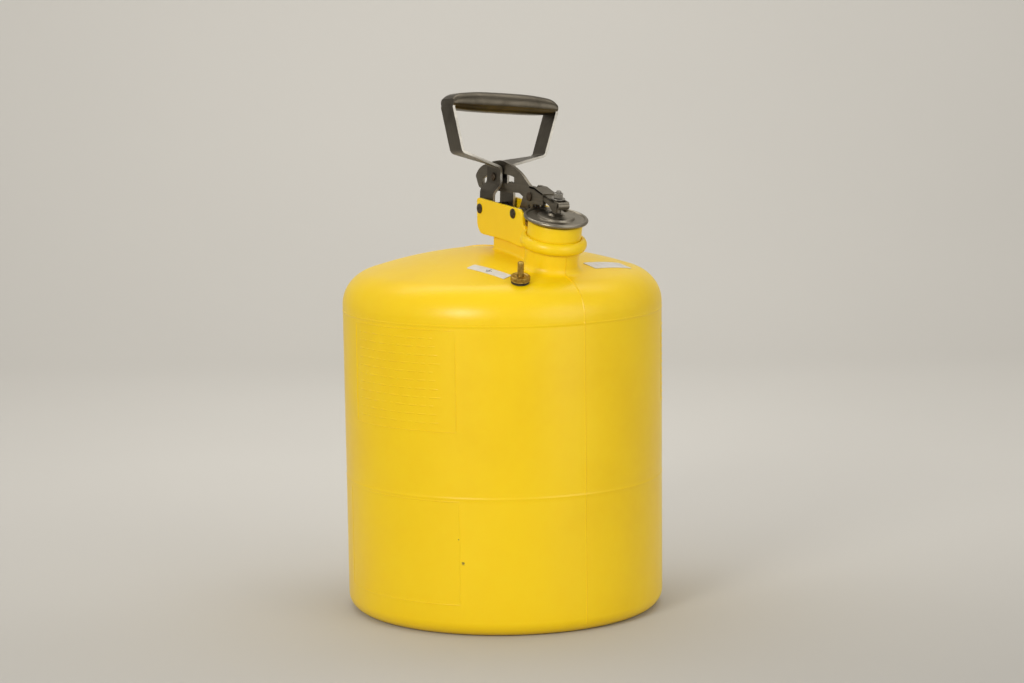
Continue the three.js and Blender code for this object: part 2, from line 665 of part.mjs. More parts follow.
add('lid_disc', lid(), 'steel');
add('lid_gasket', ring(14, 25.6, 43.4, 45.7, 32, NECK_FOOT, NECK_AXIS), 'rubber');
add('gasket_retainer', ring(2.7, 17, 41.6, 43.1, 28, NECK_FOOT, NECK_AXIS), 'steel');
add('lid_bolt', lidBolt(), 'steel');
add('lid_boss', ring(2.7, 4.2, 51.9, 62, 16, NECK_FOOT, NECK_AXIS), 'steel');
add('lid_washer', ring(2.7, 6.4, 64.6, 65.8, 20, NECK_FOOT, NECK_AXIS), 'steel');
add('lid_nut', hexNut(8, 2.7, 66.1, 70.6, NECK_FOOT, NECK_AXIS), 'steel');

add('ground_stud', turned([
  [0, -16], [2.5, -16], [STUD_R, -15.6], [STUD_R, 19.8], [2.4, 20.4], [0, 20.4],
], 32, studFoot(), studAxis()), 'brass');
add('ground_seal', ring(STUD_R + 0.15, 8.4, 0.25, 1.2, 24, studFoot(), studAxis()), 'rubber');
add('ground_washer', ring(STUD_R + 0.15, 6.6, 1.5, 2.0, 24, studFoot(), studAxis()), 'steel');
add('ground_thumb_nut', thumbNut(), 'brass');
add('ground_inner_washer', ring(STUD_R + 0.15, 8, -6.1, -4.7, 20, studFoot(), studAxis()), 'rubber');
add('ground_inner_nut', hexNut(9, STUD_R + 0.15, -10.4, -6.4, studFoot(), studAxis()), 'brass');

add('ground_label', domeLabel([80.2, -58.7], 18, 46.5, 11), 'label');
add('side_label', domeLabel([83.9, 66], 108.9, 53, 16), 'label');

export default can;
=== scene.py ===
"""The looks of the safety gas can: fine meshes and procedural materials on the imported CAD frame."""

import json
import math

import bmesh
import bpy
from mathutils import Matrix, Vector


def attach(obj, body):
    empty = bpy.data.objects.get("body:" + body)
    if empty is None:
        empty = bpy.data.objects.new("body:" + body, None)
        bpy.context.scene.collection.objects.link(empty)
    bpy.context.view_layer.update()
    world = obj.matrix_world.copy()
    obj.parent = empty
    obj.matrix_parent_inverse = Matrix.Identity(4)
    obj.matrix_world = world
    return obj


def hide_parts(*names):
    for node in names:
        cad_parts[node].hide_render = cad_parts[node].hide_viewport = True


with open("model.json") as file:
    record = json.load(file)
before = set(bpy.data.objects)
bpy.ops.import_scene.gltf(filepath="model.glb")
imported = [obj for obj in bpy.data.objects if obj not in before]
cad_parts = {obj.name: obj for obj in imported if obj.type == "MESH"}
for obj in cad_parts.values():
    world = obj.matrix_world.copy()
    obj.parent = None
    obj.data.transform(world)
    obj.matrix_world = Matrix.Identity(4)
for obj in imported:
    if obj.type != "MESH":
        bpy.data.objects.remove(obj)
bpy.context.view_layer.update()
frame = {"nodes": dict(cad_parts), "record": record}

MM = 0.001

# ---- driving sizes, millimetres, as in the CAD ----
BODY_R, FOOT_R, FOOT_ROUND = 152.4, 151.5, 14.4
SIDE_TOP, KNUCKLE_R = 289.8, 35.3
SUNK = 0.7                   # the shell lies this far inside the CAD, for its raised lines
DOME_R, DOME_TOP = 407.65, 343.9
SHOULDER_LINE, WAIST_LINE = 286.7, 129.0
NECK_X, NECK_Z, NECK_TILT = 91.9, 333.4, 13.0
NECK_R, NECK_TOP, BORE_R, THROAT_R, FLANGE_SEAT = 25.0, 43.1, 21.0, 19.6, 28.0
EAR_OUT, EAR_IN = 19.0, 15.0
HOOP_LOW, HOOP_TOP = 18.0, 30.0
REAR_PIN, FRONT_PIN, LINK_PIN = (-7.0, 381.0), (56.3, 380.7), (66.5, 396.5)
PIN_R, CROSS_PIN_R, LINK_PIN_R = 3.0, 2.0, 2.5
STRAP_W, STRAP_T, HANDLE_LEAN, CROSS_PIN_REACH = 25.4, 2.4, 4.6, 29.7
LOOP_TURN, LOOP_FOOT, LOOP_LOW = (-5.1, -5.0, -2.7), (-4.0, 0.0, 421.0), 421.0
YOKE_IN, YOKE_OUT = 5.0, 7.0
SLOT_R, SLOT_CENTRE, SLOT_HALF = 113.0, (6.2, 298.0), 3.0
HANDLE_RANGE, LID_RANGE, LINK_RATIO = (-15.0, 40.0), (0.0, 40.0), -0.95
STUD = (117.0, -47.0)
LABEL_PLACE = ((80.2, -58.7), 18)      # centre on the dome, and direction in degrees
DOME_LOW = DOME_TOP - DOME_R


class Axis:
    """A line to turn profiles about; angle 0 looks towards +X."""

    def __init__(self, foot, direction):
        self.foot = Vector(foot)
        self.up = Vector(direction).normalized()
        forward = Vector((1, 0, 0))
        self.across = (forward - self.up * forward.dot(self.up)).normalized()
        self.side = self.up.cross(self.across)

    def at(self, radius, angle, height):
        outward = self.across * math.cos(angle) + self.side * math.sin(angle)
        return self.foot + self.up * height + outward * radius


def dome_height(x, y):
    return DOME_LOW + math.sqrt(DOME_R**2 - x * x - y * y)


def pin_axis(place):
    return Axis((place[0], 0, place[1]), (0, 1, 0))


TILT = math.radians(NECK_TILT)
UPRIGHT = Axis((0, 0, 0), (0, 0, 1))
NECK = Axis((NECK_X, 0, NECK_Z), (math.sin(TILT), 0, math.cos(TILT)))
STUD_FOOT = Vector((*STUD, dome_height(*STUD)))
POST = Axis(STUD_FOOT, STUD_FOOT - Vector((0, 0, DOME_LOW)))


def spout(forward, height):
    """X, Z of a point in the neck's own frame."""
    spot = NECK.at(forward, 0, height)
    return spot.x, spot.z


# ---- mesh helpers ----
def add_mesh(name, verts, faces, crease=35):
    mesh = bpy.data.meshes.new(name)
    mesh.from_pydata([Vector(v) * MM for v in verts], [], faces)
    return add_object(name, mesh, crease)


def add_object(name, mesh, crease=35):
    work = bmesh.new()
    work.from_mesh(mesh)
    bmesh.ops.remove_doubles(work, verts=work.verts, dist=1e-6)
    bmesh.ops.recalc_face_normals(work, faces=work.faces)
    work.to_mesh(mesh)
    work.free()
    mesh.shade_smooth()
    mesh.set_sharp_from_angle(angle=math.radians(crease))
    piece = bpy.data.objects.new(name, mesh)
    bpy.context.collection.objects.link(piece)
    return piece


def joined(name, pieces):
    """One object from several, in the row frame."""
    mesh = bpy.data.meshes.new(name)
    work = bmesh.new()
    for piece in pieces:
        work.from_mesh(piece.data)
        bpy.data.objects.remove(piece)
    work.to_mesh(mesh)
    work.free()
    piece = bpy.data.objects.new(name, mesh)
    bpy.context.collection.objects.link(piece)
    return piece


def bevelled(piece, width, segments=2):
    bevel = piece.modifiers.new("edge", "BEVEL")
    bevel.width = width * MM
    bevel.segments = segments
    bevel.limit_method = "ANGLE"
    bevel.angle_limit = math.radians(30)
    bevel.harden_normals = True
    return piece


def moulded(piece, voxel, rounds):
    """Fuses overlapping shells into one skin with soft inside and outside corners."""
    fuse = piece.modifiers.new("fuse", "REMESH")
    fuse.mode = "VOXEL"
    fuse.voxel_size = voxel * MM
    fuse.use_smooth_shade = True
    soften = piece.modifiers.new("soften", "SMOOTH")
    soften.factor = 0.5
    soften.iterations = rounds
    return piece


def walls(rings, count):
    """The faces between closed rings of points that are numbered ring after ring."""
    return [(i * count + k, i * count + (k + 1) % count, (i + 1) * count + (k + 1) % count,
             (i + 1) * count + k) for i in range(rings - 1) for k in range(count)]


def rounded(corners, steps=6, closed=True):
    """An outline of (a, b, radius) corners with each corner turned into an arc."""
    out = []
    count = len(corners)
    for i, (a, b, radius) in enumerate(corners):
        here = Vector((a, b))
        if radius == 0 or (not closed and i in (0, count - 1)):
            out.append(here)
            continue
        back = (Vector(corners[i - 1][:2]) - here).normalized()
        ahead = (Vector(corners[(i + 1) % count][:2]) - here).normalized()
        half = math.acos(max(-1.0, min(1.0, back.dot(ahead)))) / 2
        reach = radius / math.tan(half)
        middle = here + (back + ahead).normalized() * radius / math.sin(half)
        first = here + back * reach - middle
        last = here + ahead * reach - middle
        start = math.atan2(first.y, first.x)
        turn = (math.atan2(last.y, last.x) - start + math.pi) % math.tau - math.pi
        for k in range(steps + 1):
            angle = start + turn * k / steps
            out.append(middle + Vector((math.cos(angle), math.sin(angle))) * radius)
    return out


def flowing(points, steps):
    """A smooth line through the points."""
    ends = [points[0], *points, points[-1]]
    out = []
    for p, q, r, s in zip(ends, ends[1:], ends[2:], ends[3:]):
        p, q, r, s = (Vector(v) for v in (p, q, r, s))
        for k in range(steps):
            t = k / steps
            out.append(0.5 * (2 * q + (r - p) * t + (2 * p - 5 * q + 4 * r - s) * t**2
                              + (3 * q - p - 3 * r + s) * t**3))
    return [*out, Vector(points[-1])]


def band(line, thickness):
    """The outline of a strip of even thickness along a centre line."""
    left, right = [], []
    for i, spot in enumerate(line):
        before, after = line[max(i - 1, 0)], line[min(i + 1, len(line) - 1)]
        inward = (spot - before).normalized() if i else Vector((0, 0))
        outward = (after - spot).normalized() if i < len(line) - 1 else Vector((0, 0))
        along = (inward + outward).normalized()
        side = Vector((-along.y, along.x)) * thickness / 2
        left.append(spot + side)
        right.append(spot - side)
    return [*left, *reversed(right)]


PLANES = {
    "XZ": Matrix(((1, 0, 0, 0), (0, 0, -1, 0), (0, 1, 0, 0), (0, 0, 0, 1))),
    "YZ": Matrix(((0, 0, 1, 0), (1, 0, 0, 0), (0, 1, 0, 0), (0, 0, 0, 1))),
}


def plate(name, outlines, low, high, edge=0.3, plane="XZ"):
    """A sheet cut to closed outlines, the first its rim and the rest its holes."""
    curve = bpy.data.curves.new(name, "CURVE")
    curve.dimensions = "2D"
    curve.fill_mode = "BOTH"
    curve.extrude = (high - low) / 2 * MM
    for outline in outlines:
        spline = curve.splines.new("POLY")
        spline.points.add(len(outline) - 1)
        for point, spot in zip(spline.points, outline):
            point.co = (spot[0] * MM, spot[1] * MM, 0, 1)
        spline.use_cyclic_u = True
    holder = bpy.data.objects.new(name, curve)
    bpy.context.collection.objects.link(holder)
    graph = bpy.context.evaluated_depsgraph_get()
    mesh = bpy.data.meshes.new_from_object(holder.evaluated_get(graph))
    bpy.data.objects.remove(holder)
    mesh.transform(PLANES[plane])
    shift = Vector((0, (low + high) / 2, 0)) if plane == "XZ" else Vector(((low + high) / 2, 0, 0))
    mesh.transform(Matrix.Translation(shift * MM))
    return bevelled(add_object(name, mesh), edge)


def pair(name, outlines, inner, outer, edge=0.3):
    """The same plate on the near side and the far side."""
    return [plate(name + "_near", outlines, -outer, -inner, edge),
            plate(name + "_far", outlines, inner, outer, edge)]


def circle(centre, radius, steps=40):
    return [(centre[0] + radius * math.cos(math.tau * k / steps),
             centre[1] + radius * math.sin(math.tau * k / steps)) for k in range(steps)]


def turned(name, profile, axis, segments=96, relief=None, seam=None):
    """Revolves (radius, height) points.

    relief(angle, height, radius) adds to the radius, and seam(height) is how high a ridge stands at
    0 and 180 degrees.
    """
    angles = [math.tau * k / segments for k in range(segments)]
    if seam:
        offsets = [math.radians(d) for d in (0.18, 0.36, 0.6)]
        angles += [base + sign * d for base in (0, math.pi) for d in offsets for sign in (-1, 1)]
    angles = sorted({round(a % math.tau, 6) for a in angles})
    count = len(angles)
    verts, rows, faces = [], [], []
    for i, (radius, height) in enumerate(profile):
        start = len(verts)
        if radius < 1e-6:
            verts.append(axis.at(0, 0, height))
            rows.append([start] * count)
            continue
        before, after = profile[max(i - 1, 0)], profile[min(i + 1, len(profile) - 1)]
        slope = Vector((after[1] - before[1], before[0] - after[0]))
        slope = slope.normalized() if slope.length else Vector((1, 0))
        for angle in angles:
            r, h = radius, height
            if relief:
                r += relief(angle, height, radius)
            if seam and abs(math.sin(angle)) < 1e-4:
                r, h = r + slope.x * seam(h), h + slope.y * seam(h)
            verts.append(axis.at(r, angle, h))
        rows.append(list(range(start, start + count)))
    for low, high in zip(rows, rows[1:]):
        for k in range(count):
            n = (k + 1) % count
            quad = [low[k], low[n], high[n], high[k]]
            kept = [v for j, v in enumerate(quad) if v != quad[j - 1]]
            if len(kept) > 2:
                faces.append(kept)
    return add_mesh(name, verts, faces)


def eased(profile, steps=4):
    """A (radius, height, fillet) profile with its corners filleted."""
    line = rounded([(r, h, f) for r, h, f in profile], steps, closed=False)
    return [(max(p.x, 0.0), p.y) for p in line]


def ring(name, inner, outer, low, high, axis, ease=0.25, segments=64):
    corners = [(inner, low, ease), (outer, low, ease), (outer, high, ease), (inner, high, ease)]
    line = [(p.x, p.y) for p in rounded(corners, 3)]
    return turned(name, [*line, line[0]], axis, segments)


def placed(piece, body, material, *nodes, slot=None):
    """Puts a finished piece on its body, with its material, in place of its CAD nodes."""
    piece.data.materials.clear()
    piece.data.materials.append(material)
    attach(piece, body)
    if nodes:
        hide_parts(*nodes)
    return piece


SLOTS = {part["node"]: part["material_slot"] for part in frame["record"]["subparts"]}


# ---- material helpers ----
class Paint:
    """A small builder for node materials on one Principled shader."""

    def __init__(self, name, **fixed):
        self.material = bpy.data.materials.new(name)
        self.material.use_nodes = True
        self.tree = self.material.node_tree
        self.shader = self.tree.nodes["Principled BSDF"]
        for socket, value in fixed.items():
            self.shader.inputs[socket.replace("_", " ")].default_value = value
        self.place = self.node("ShaderNodeTexCoord").outputs["Object"]
        self.normal = None

    def node(self, kind, **settings):
        made = self.tree.nodes.new(kind)
        for key, value in settings.items():
            setattr(made, key, value)
        return made

    def join(self, source, target):
        self.tree.links.new(source, target)

    def feed(self, value, socket):
        if isinstance(value, bpy.types.NodeSocket):
            self.join(value, socket)
        else:
            socket.default_value = value

    def math(self, operation, a, b=0.0, clamp=False):
        made = self.node("ShaderNodeMath", operation=operation, use_clamp=clamp)
        self.feed(a, made.inputs[0])
        self.feed(b, made.inputs[1])
        return made.outputs[0]

    def stretched(self, scale):
        """Object coordinates, in metres, scaled."""
        made = self.node("ShaderNodeMapping", vector_type="POINT")
        made.inputs["Scale"].default_value = scale
        self.join(self.place, made.inputs["Vector"])
        return made.outputs["Vector"]

    def noise(self, scale, detail=3.0, rough=0.5, at=None, warp=0.0):
        made = self.node("ShaderNodeTexNoise")
        made.inputs["Scale"].default_value = scale
        made.inputs["Detail"].default_value = detail
        made.inputs["Roughness"].default_value = rough
        made.inputs["Distortion"].default_value = warp
        self.join(at or self.place, made.inputs["Vector"])
        return made.outputs["Fac"]

    def ramp(self, value, *stops):
        made = self.node("ShaderNodeValToRGB")
        points = made.color_ramp.elements
        while len(points) < len(stops):
            points.new(0.5)
        for point, (place, colour) in zip(points, stops):
            point.position = place
            point.color = colour if isinstance(colour, tuple) else (colour, colour, colour, 1)
        self.join(value, made.inputs["Fac"])
        return made.outputs["Color"]

    def blend(self, share, first, second, mode="MIX"):
        made = self.node("ShaderNodeMix", data_type="RGBA", blend_type=mode)
        self.feed(share, made.inputs["Factor"])
        self.feed(first, made.inputs["A"])
        self.feed(second, made.inputs["B"])
        return made.outputs["Result"]

    def bump(self, height, distance, strength=1.0):
        made = self.node("ShaderNodeBump")
        made.inputs["Distance"].default_value = distance
        made.inputs["Strength"].default_value = strength
        self.join(height, made.inputs["Height"])
        if self.normal:
            self.join(self.normal, made.inputs["Normal"])
        self.normal = made.outputs["Normal"]

    def done(self, colour=None, rough=None):
        if colour:
            self.join(colour, self.shader.inputs["Base Color"])
        if rough:
            self.join(rough, self.shader.inputs["Roughness"])
        if self.normal:
            self.join(self.normal, self.shader.inputs["Normal"])
        return self.material


# Two dark scuffs low on the side: where, and how far they reach.
SCUFFS = [(UPRIGHT.at(151.3, math.radians(-44.2), 69.2), 3.2),
          (UPRIGHT.at(151.4, math.radians(-45.8), 91.2), 1.9)]


def yellow_plastic():
    p = Paint("yellow_polyethylene", Metallic=0.0, Specular_IOR_Level=0.38, Subsurface_Weight=0.06)
    p.shader.inputs["Subsurface Radius"].default_value = (0.004, 0.002, 0.0004)
    clouds = p.noise(7.0, 4.0, 0.55)
    mottle = p.noise(95.0, 3.0, 0.6)
    deep, plain, pale = (0.80, 0.51, 0.001, 1), (0.86, 0.57, 0.0015, 1), (0.89, 0.61, 0.003, 1)
    colour = p.ramp(clouds, (0.2, deep), (0.52, plain), (0.85, pale))
    colour = p.blend(p.ramp(mottle, (0.35, 0.0), (0.75, 0.16)), colour, (0.9, 0.66, 0.012, 1))
    scuffs = p.noise(240.0, 2.0, 0.5, p.stretched((0.35, 0.35, 0.12)))
    ragged = p.noise(900.0, 2.0, 0.5)
    for spot, size in SCUFFS:
        away = p.node("ShaderNodeVectorMath", operation="DISTANCE")
        p.join(p.place, away.inputs[0])
        away.inputs[1].default_value = spot * MM
        reach = p.math("DIVIDE", away.outputs["Value"], size * MM)
        reach = p.math("ADD", reach, p.math("MULTIPLY", ragged, 0.9))
        colour = p.blend(p.ramp(reach, (0.75, 0.85), (1.35, 0.0)), colour, (0.13, 0.10, 0.03, 1))
    rough = p.ramp(p.blend(0.4, clouds, scuffs), (0.3, 0.29), (0.7, 0.39))
    p.bump(p.noise(9.0, 3.0, 0.5), 0.0012, 0.35)
    p.bump(p.noise(60.0, 3.0, 0.6), 0.0003, 0.35)
    p.bump(p.noise(1500.0, 2.0, 0.6), 0.00008, 0.5)
    return p.done(colour, rough)


def brushed_metal(name, dark, light, along, rough=(0.3, 0.5), stain=0.5):
    """Dull stainless with its brush marks along one direction: along is the scale of the grain."""
    p = Paint(name, Metallic=1.0)
    grain = p.noise(1.0, 4.0, 0.7, p.stretched(along))
    fine = p.noise(1.0, 2.0, 0.5, p.stretched(tuple(3.1 * v for v in along)))
    stains = p.noise(38.0, 5.0, 0.62, None, 0.6)
    colour = p.ramp(grain, (0.25, (*dark, 1)), (0.75, (*light, 1)))
    shade = tuple(0.55 * v for v in dark)
    colour = p.blend(p.ramp(stains, (0.45, 0.0), (0.72, stain)), colour, (*shade, 1))
    mix = p.blend(0.5, grain, stains)
    level = p.ramp(mix, (0.3, rough[0]), (0.7, rough[1]))
    p.bump(grain, 0.00006, 0.45)
    p.bump(fine, 0.00003, 0.4)
    p.bump(p.noise(28.0, 2.0, 0.5), 0.0004, 0.2)
    return p.done(colour, level)


def spun_metal():
    """Stainless with its marks in circles round the neck's axis."""
    p = Paint("spun_lid_steel", Metallic=1.0)
    centre = p.node("ShaderNodeVectorMath", operation="SUBTRACT")
    p.join(p.place, centre.inputs[0])
    centre.inputs[1].default_value = NECK.foot * MM
    turn = p.node("ShaderNodeVectorRotate", rotation_type="Y_AXIS")
    turn.inputs["Angle"].default_value = -TILT
    p.join(centre.outputs[0], turn.inputs["Vector"])
    parts = p.node("ShaderNodeSeparateXYZ")
    p.join(turn.outputs[0], parts.inputs[0])
    x, y = parts.outputs[0], parts.outputs[1]
    radius = p.math("SQRT", p.math("ADD", p.math("MULTIPLY", x, x), p.math("MULTIPLY", y, y)))
    around = p.math("ARCTAN2", y, x)
    polar = p.node("ShaderNodeCombineXYZ")
    p.join(p.math("MULTIPLY", radius, 1500.0), polar.inputs[0])
    p.join(p.math("MULTIPLY", p.math("COSINE", around), 2.0), polar.inputs[1])
    p.join(p.math("MULTIPLY", p.math("SINE", around), 2.0), polar.inputs[2])
    grain = p.noise(1.0, 4.0, 0.7, polar.outputs[0])
    stains = p.noise(45.0, 5.0, 0.6, None, 0.5)
    colour = p.ramp(grain, (0.25, (0.19, 0.167, 0.125, 1)), (0.75, (0.35, 0.312, 0.245, 1)))
    colour = p.blend(p.ramp(stains, (0.45, 0.0), (0.75, 0.55)), colour, (0.11, 0.095, 0.07, 1))
    rough = p.ramp(p.blend(0.5, grain, stains), (0.3, 0.24), (0.7, 0.44))
    p.bump(grain, 0.00006, 0.5)
    p.bump(p.noise(60.0, 2.0, 0.5), 0.0004, 0.2)
    return p.done(colour, rough)


def dark_rivet():
    p = Paint("rivet_steel", Metallic=0.85)
    stains = p.noise(420.0, 5.0, 0.65)
    colour = p.ramp(stains, (0.3, (0.035, 0.024, 0.015, 1)), (0.7, (0.12, 0.09, 0.06, 1)))
    p.bump(stains, 0.0002, 0.5)
    return p.done(colour, p.ramp(stains, (0.3, 0.62), (0.7, 0.42)))


def aged_brass():
    p = Paint("aged_brass", Metallic=1.0)
    stains = p.noise(260.0, 5.0, 0.62, None, 0.4)
    wear = p.noise(900.0, 3.0, 0.6)
    colour = p.ramp(stains, (0.3, (0.21, 0.125, 0.022, 1)), (0.55, (0.44, 0.285, 0.06, 1)),
                    (0.8, (0.60, 0.42, 0.13, 1)))
    colour = p.blend(p.ramp(wear, (0.5, 0.0), (0.8, 0.3)), colour, (0.72, 0.54, 0.22, 1))
    p.bump(wear, 0.00008, 0.5)
    return p.done(colour, p.ramp(stains, (0.3, 0.5), (0.7, 0.28)))


def seal_rubber():
    p = Paint("seal_rubber", Metallic=0.0)
    grain = p.noise(700.0, 4.0, 0.6)
    colour = p.ramp(grain, (0.3, (0.012, 0.010, 0.008, 1)), (0.7, (0.04, 0.035, 0.03, 1)))
    p.bump(grain, 0.0001, 0.6)
    return p.done(colour, p.ramp(grain, (0.3, 0.85), (0.7, 0.68)))


def label_film():
    p = Paint("label_film", Metallic=0.0)
    aging = p.noise(120.0, 5.0, 0.6)
    fibres = p.noise(1.0, 3.0, 0.6, p.stretched((2600, 900, 900)))
    colour = p.ramp(aging, (0.3, (0.60, 0.56, 0.49, 1)), (0.7, (0.72, 0.70, 0.65, 1)))
    colour = p.blend(p.ramp(fibres, (0.4, 0.0), (0.8, 0.25)), colour, (0.60, 0.57, 0.50, 1))
    p.bump(fibres, 0.00005, 0.4)
    return p.done(colour, p.ramp(aging, (0.3, 0.5), (0.7, 0.35)))


def printed_ink():
    p = Paint("printed_ink", Metallic=0.0)
    wear = p.noise(1500.0, 4.0, 0.6)
    colour = p.ramp(wear, (0.3, (0.03, 0.03, 0.03, 1)), (0.8, (0.12, 0.115, 0.11, 1)))
    return p.done(colour, p.ramp(wear, (0.3, 0.45), (0.7, 0.6)))


def sweep_paper():
    p = Paint("studio_paper", Metallic=0.0)
    drift = p.noise(0.7, 3.0, 0.5)
    colour = p.ramp(drift, (0.3, (0.485, 0.468, 0.430, 1)), (0.7, (0.515, 0.497, 0.457, 1)))
    return p.done(colour, p.ramp(drift, (0.3, 0.75), (0.7, 0.85)))


YELLOW = yellow_plastic()
# Each steel: its dark and light colours, then the scale of its grain along X, Y and Z.
STRAP_STEEL = brushed_metal("strap_steel", (0.074, 0.062, 0.044), (0.15, 0.131, 0.099), (1100, 9, 9))
PLATE_STEEL = brushed_metal("plate_steel", (0.145, 0.127, 0.095), (0.235, 0.209, 0.162),
                            (14, 1200, 1200))
# The strap's cut edges get a lighter copy of the steel: a painted highlight along the edges.
EDGE_HIGHLIGHT_STEEL = brushed_metal("cut_edge_painted_highlight", (0.26, 0.24, 0.20), (0.50, 0.47, 0.41), (260, 60, 60),
                           (0.3, 0.45), stain=0.4)
PLAIN_STEEL = brushed_metal("plain_steel", (0.22, 0.205, 0.175), (0.40, 0.375, 0.33),
                            (500, 500, 500), (0.26, 0.42))
WIRE_STEEL = brushed_metal("wire_steel", (0.20, 0.19, 0.165), (0.40, 0.375, 0.34), (700, 60, 700),
                           (0.22, 0.36))
LID_STEEL = spun_metal()
RIVET = dark_rivet()
BRASS = aged_brass()
RUBBER = seal_rubber()
LABEL = label_film()
INK = printed_ink()


# ---- container ----
def side_radius(z):
    return FOOT_R - SUNK + (BODY_R - FOOT_R) * (z - FOOT_ROUND) / (SIDE_TOP - FOOT_ROUND)


def container_profile():
    """Half section of the outside, with the two raised mould lines."""
    line = [(0, 4), (60, 4), (91, 4), (93.5, 3.6), (97, 1.2), (100, 0.0), (118, 0.0)]
    for k in range(11):
        angle = math.pi / 2 * k / 10
        line.append((FOOT_R - SUNK - FOOT_ROUND + FOOT_ROUND * math.sin(angle),
                     FOOT_ROUND - FOOT_ROUND * math.cos(angle)))

    line += [(side_radius(z), z) for z in (40, 70, 100, 125)]
    line += [(side_radius(WAIST_LINE + d) + rise, WAIST_LINE + d)
             for d, rise in ((-1.2, 0), (-0.45, 0.2), (0.3, 0.2), (1.0, -0.12), (2.2, -0.1))]
    line += [(side_radius(z), z) for z in (150, 190, 230, 260, 280)]
    line += [(side_radius(SHOULDER_LINE + d) + rise, SHOULDER_LINE + d)
             for d, rise in ((-2.2, 0), (-1.0, -0.05), (-0.5, 0.25), (0.5, 0.25), (1.0, -0.1), (2.0, 0.0))]
    centre_r, centre_z = BODY_R - KNUCKLE_R, SIDE_TOP
    meet = math.atan2(centre_r, centre_z - DOME_LOW)
    for k in range(17):
        angle = (math.pi / 2 - meet) * k / 16
        inset = SUNK * (1 - min(k / 8, 1)) ** 2
        line.append((centre_r + (KNUCKLE_R - inset) * math.cos(angle),
                     centre_z + (KNUCKLE_R - inset) * math.sin(angle)))
    for k in range(1, 33):
        angle = meet * (1 - k / 32)
        line.append((DOME_R * math.sin(angle), DOME_LOW + DOME_R * math.cos(angle)))
    return line


def container_shell():
    def parting_line(height):
        if height < FOOT_ROUND * 0.5:
            return 0.0
        return 0.45 if height < SIDE_TOP + 20 else 0.75

    shell = turned("can_shell", container_profile(), UPRIGHT, 240, seam=parting_line)
    work = bmesh.new()
    work.from_mesh(shell.data)
    hidden = []
    for vert in work.verts:
        offset = vert.co / MM - NECK.foot
        height = offset.dot(NECK.up)
        if height > -20 and (offset - NECK.up * height).length < THROAT_R + 1:
            hidden.append(vert)
    bmesh.ops.delete(work, geom=hidden, context="VERTS")
    work.to_mesh(shell.data)
    work.free()
    return shell


def neck_profile():
    fillet, spread = 6.5, 34.0

    def dome(r):
        return math.sqrt(DOME_R**2 - r * r) - DOME_R

    foot = NECK_R + fillet
    line = [(spread, dome(spread) - 0.2), (spread - 1.0, dome(spread - 1.0) + 0.03)]
    for k in range(13):
        angle = math.pi / 2 * k / 12
        line.append((foot - fillet * math.sin(angle), dome(foot) + 0.03 + fillet * (1 - math.cos(angle))))
    line += [(NECK_R, s) for s in (12, 16, 21)]
    rim = rounded([(NECK_R, 30, 0), (NECK_R, NECK_TOP, 1.4), (BORE_R, NECK_TOP, 1.2),
                   (BORE_R, FLANGE_SEAT, 0.3), (THROAT_R, FLANGE_SEAT, 0.3), (THROAT_R, -8, 0)], 5, False)
    return [*line, *[(p.x, p.y) for p in rim]]


def pedestal():
    """The moulded seat behind the neck: rings stepping out from a rounded footprint."""
    x0, x1, half, corner, fillet = 9.0, 78.0, 14.5, 2.5, 3.4
    high, fall, length = 355.4, 2.7, 68
    steps = [(-2.2, "top", 0)]
    steps += [(-1.5 * (1 - math.sin(a)), "edge", 1.5 * (1 - math.cos(a)))
              for a in (math.pi / 2 * k / 5 for k in range(6))]
    steps += [(fillet * (1 - math.cos(a)), "foot", fillet * (1 - math.sin(a)))
              for a in (math.pi / 2 * k / 7 for k in range(8))]
    steps += [(fillet + 1.2, "foot", -0.15)]
    verts, count = [], 160
    for out, kind, rise in steps:
        turn = max(corner + out, 0.3)
        outline = rounded([(x0 - out, -half - out, turn), (x1 + out, -half - out, turn),
                           (x1 + out, half + out, turn), (x0 - out, half + out, turn)], 8)
        for a, b in subdivided(outline, count):
            top = high - fall * (min(max(a, x0), x0 + length) - x0) / length
            verts.append((a, b, dome_height(a, b) + rise + 0.03 if kind == "foot" else top - rise))
    return add_mesh("can_pedestal", verts, [*walls(len(steps), count), tuple(reversed(range(count)))])


def subdivided(outline, count):
    """The closed outline resampled to an even count of points."""
    points = [Vector(p) for p in outline]
    lengths = [(points[(i + 1) % len(points)] - p).length for i, p in enumerate(points)]
    total = sum(lengths)
    out, index, walked = [], 0, 0.0
    for k in range(count):
        goal = total * k / count
        while walked + lengths[index] < goal:
            walked += lengths[index]
            index += 1
        share = (goal - walked) / lengths[index] if lengths[index] else 0
        out.append(points[index].lerp(points[(index + 1) % len(points)], share))
    return out


def raised_lines(name, lines, height=0.42):
    """Low rounded ridges on the container's side: (angle, z) to (angle, z) in degrees and mm, width."""
    verts, faces = [], []
    for (a0, z0), (a1, z1), width in lines:
        length = math.hypot(math.radians(a1 - a0) * BODY_R, z1 - z0)
        steps = max(2, int(length / 3))
        across = Vector((-(z1 - z0), math.radians(a1 - a0) * BODY_R)).normalized()
        start = len(verts)
        section = ((-0.5, -0.15), (-0.3, 0.75), (0.0, 1.0), (0.3, 0.75), (0.5, -0.15))
        for k in range(steps + 1):
            t = k / steps
            fade = 6 if length < 12 else length / 1.2
            taper = min(1.0, fade * t + 0.01, fade * (1 - t) + 0.01)
            for side, lift in section:
                shift = across * side * width
                angle = math.radians(a0 + (a1 - a0) * t) + shift.x / BODY_R
                z = z0 + (z1 - z0) * t + shift.y
                rise = (lift * taper if lift > 0 else lift) * height
                verts.append(UPRIGHT.at(side_radius(z) + rise, angle, z))
        for k in range(steps):
            for j in range(len(section) - 1):
                a = start + k * len(section) + j
                faces.append((a, a + len(section), a + len(section) + 1, a + 1))
    return add_mesh(name, verts, faces, 80)


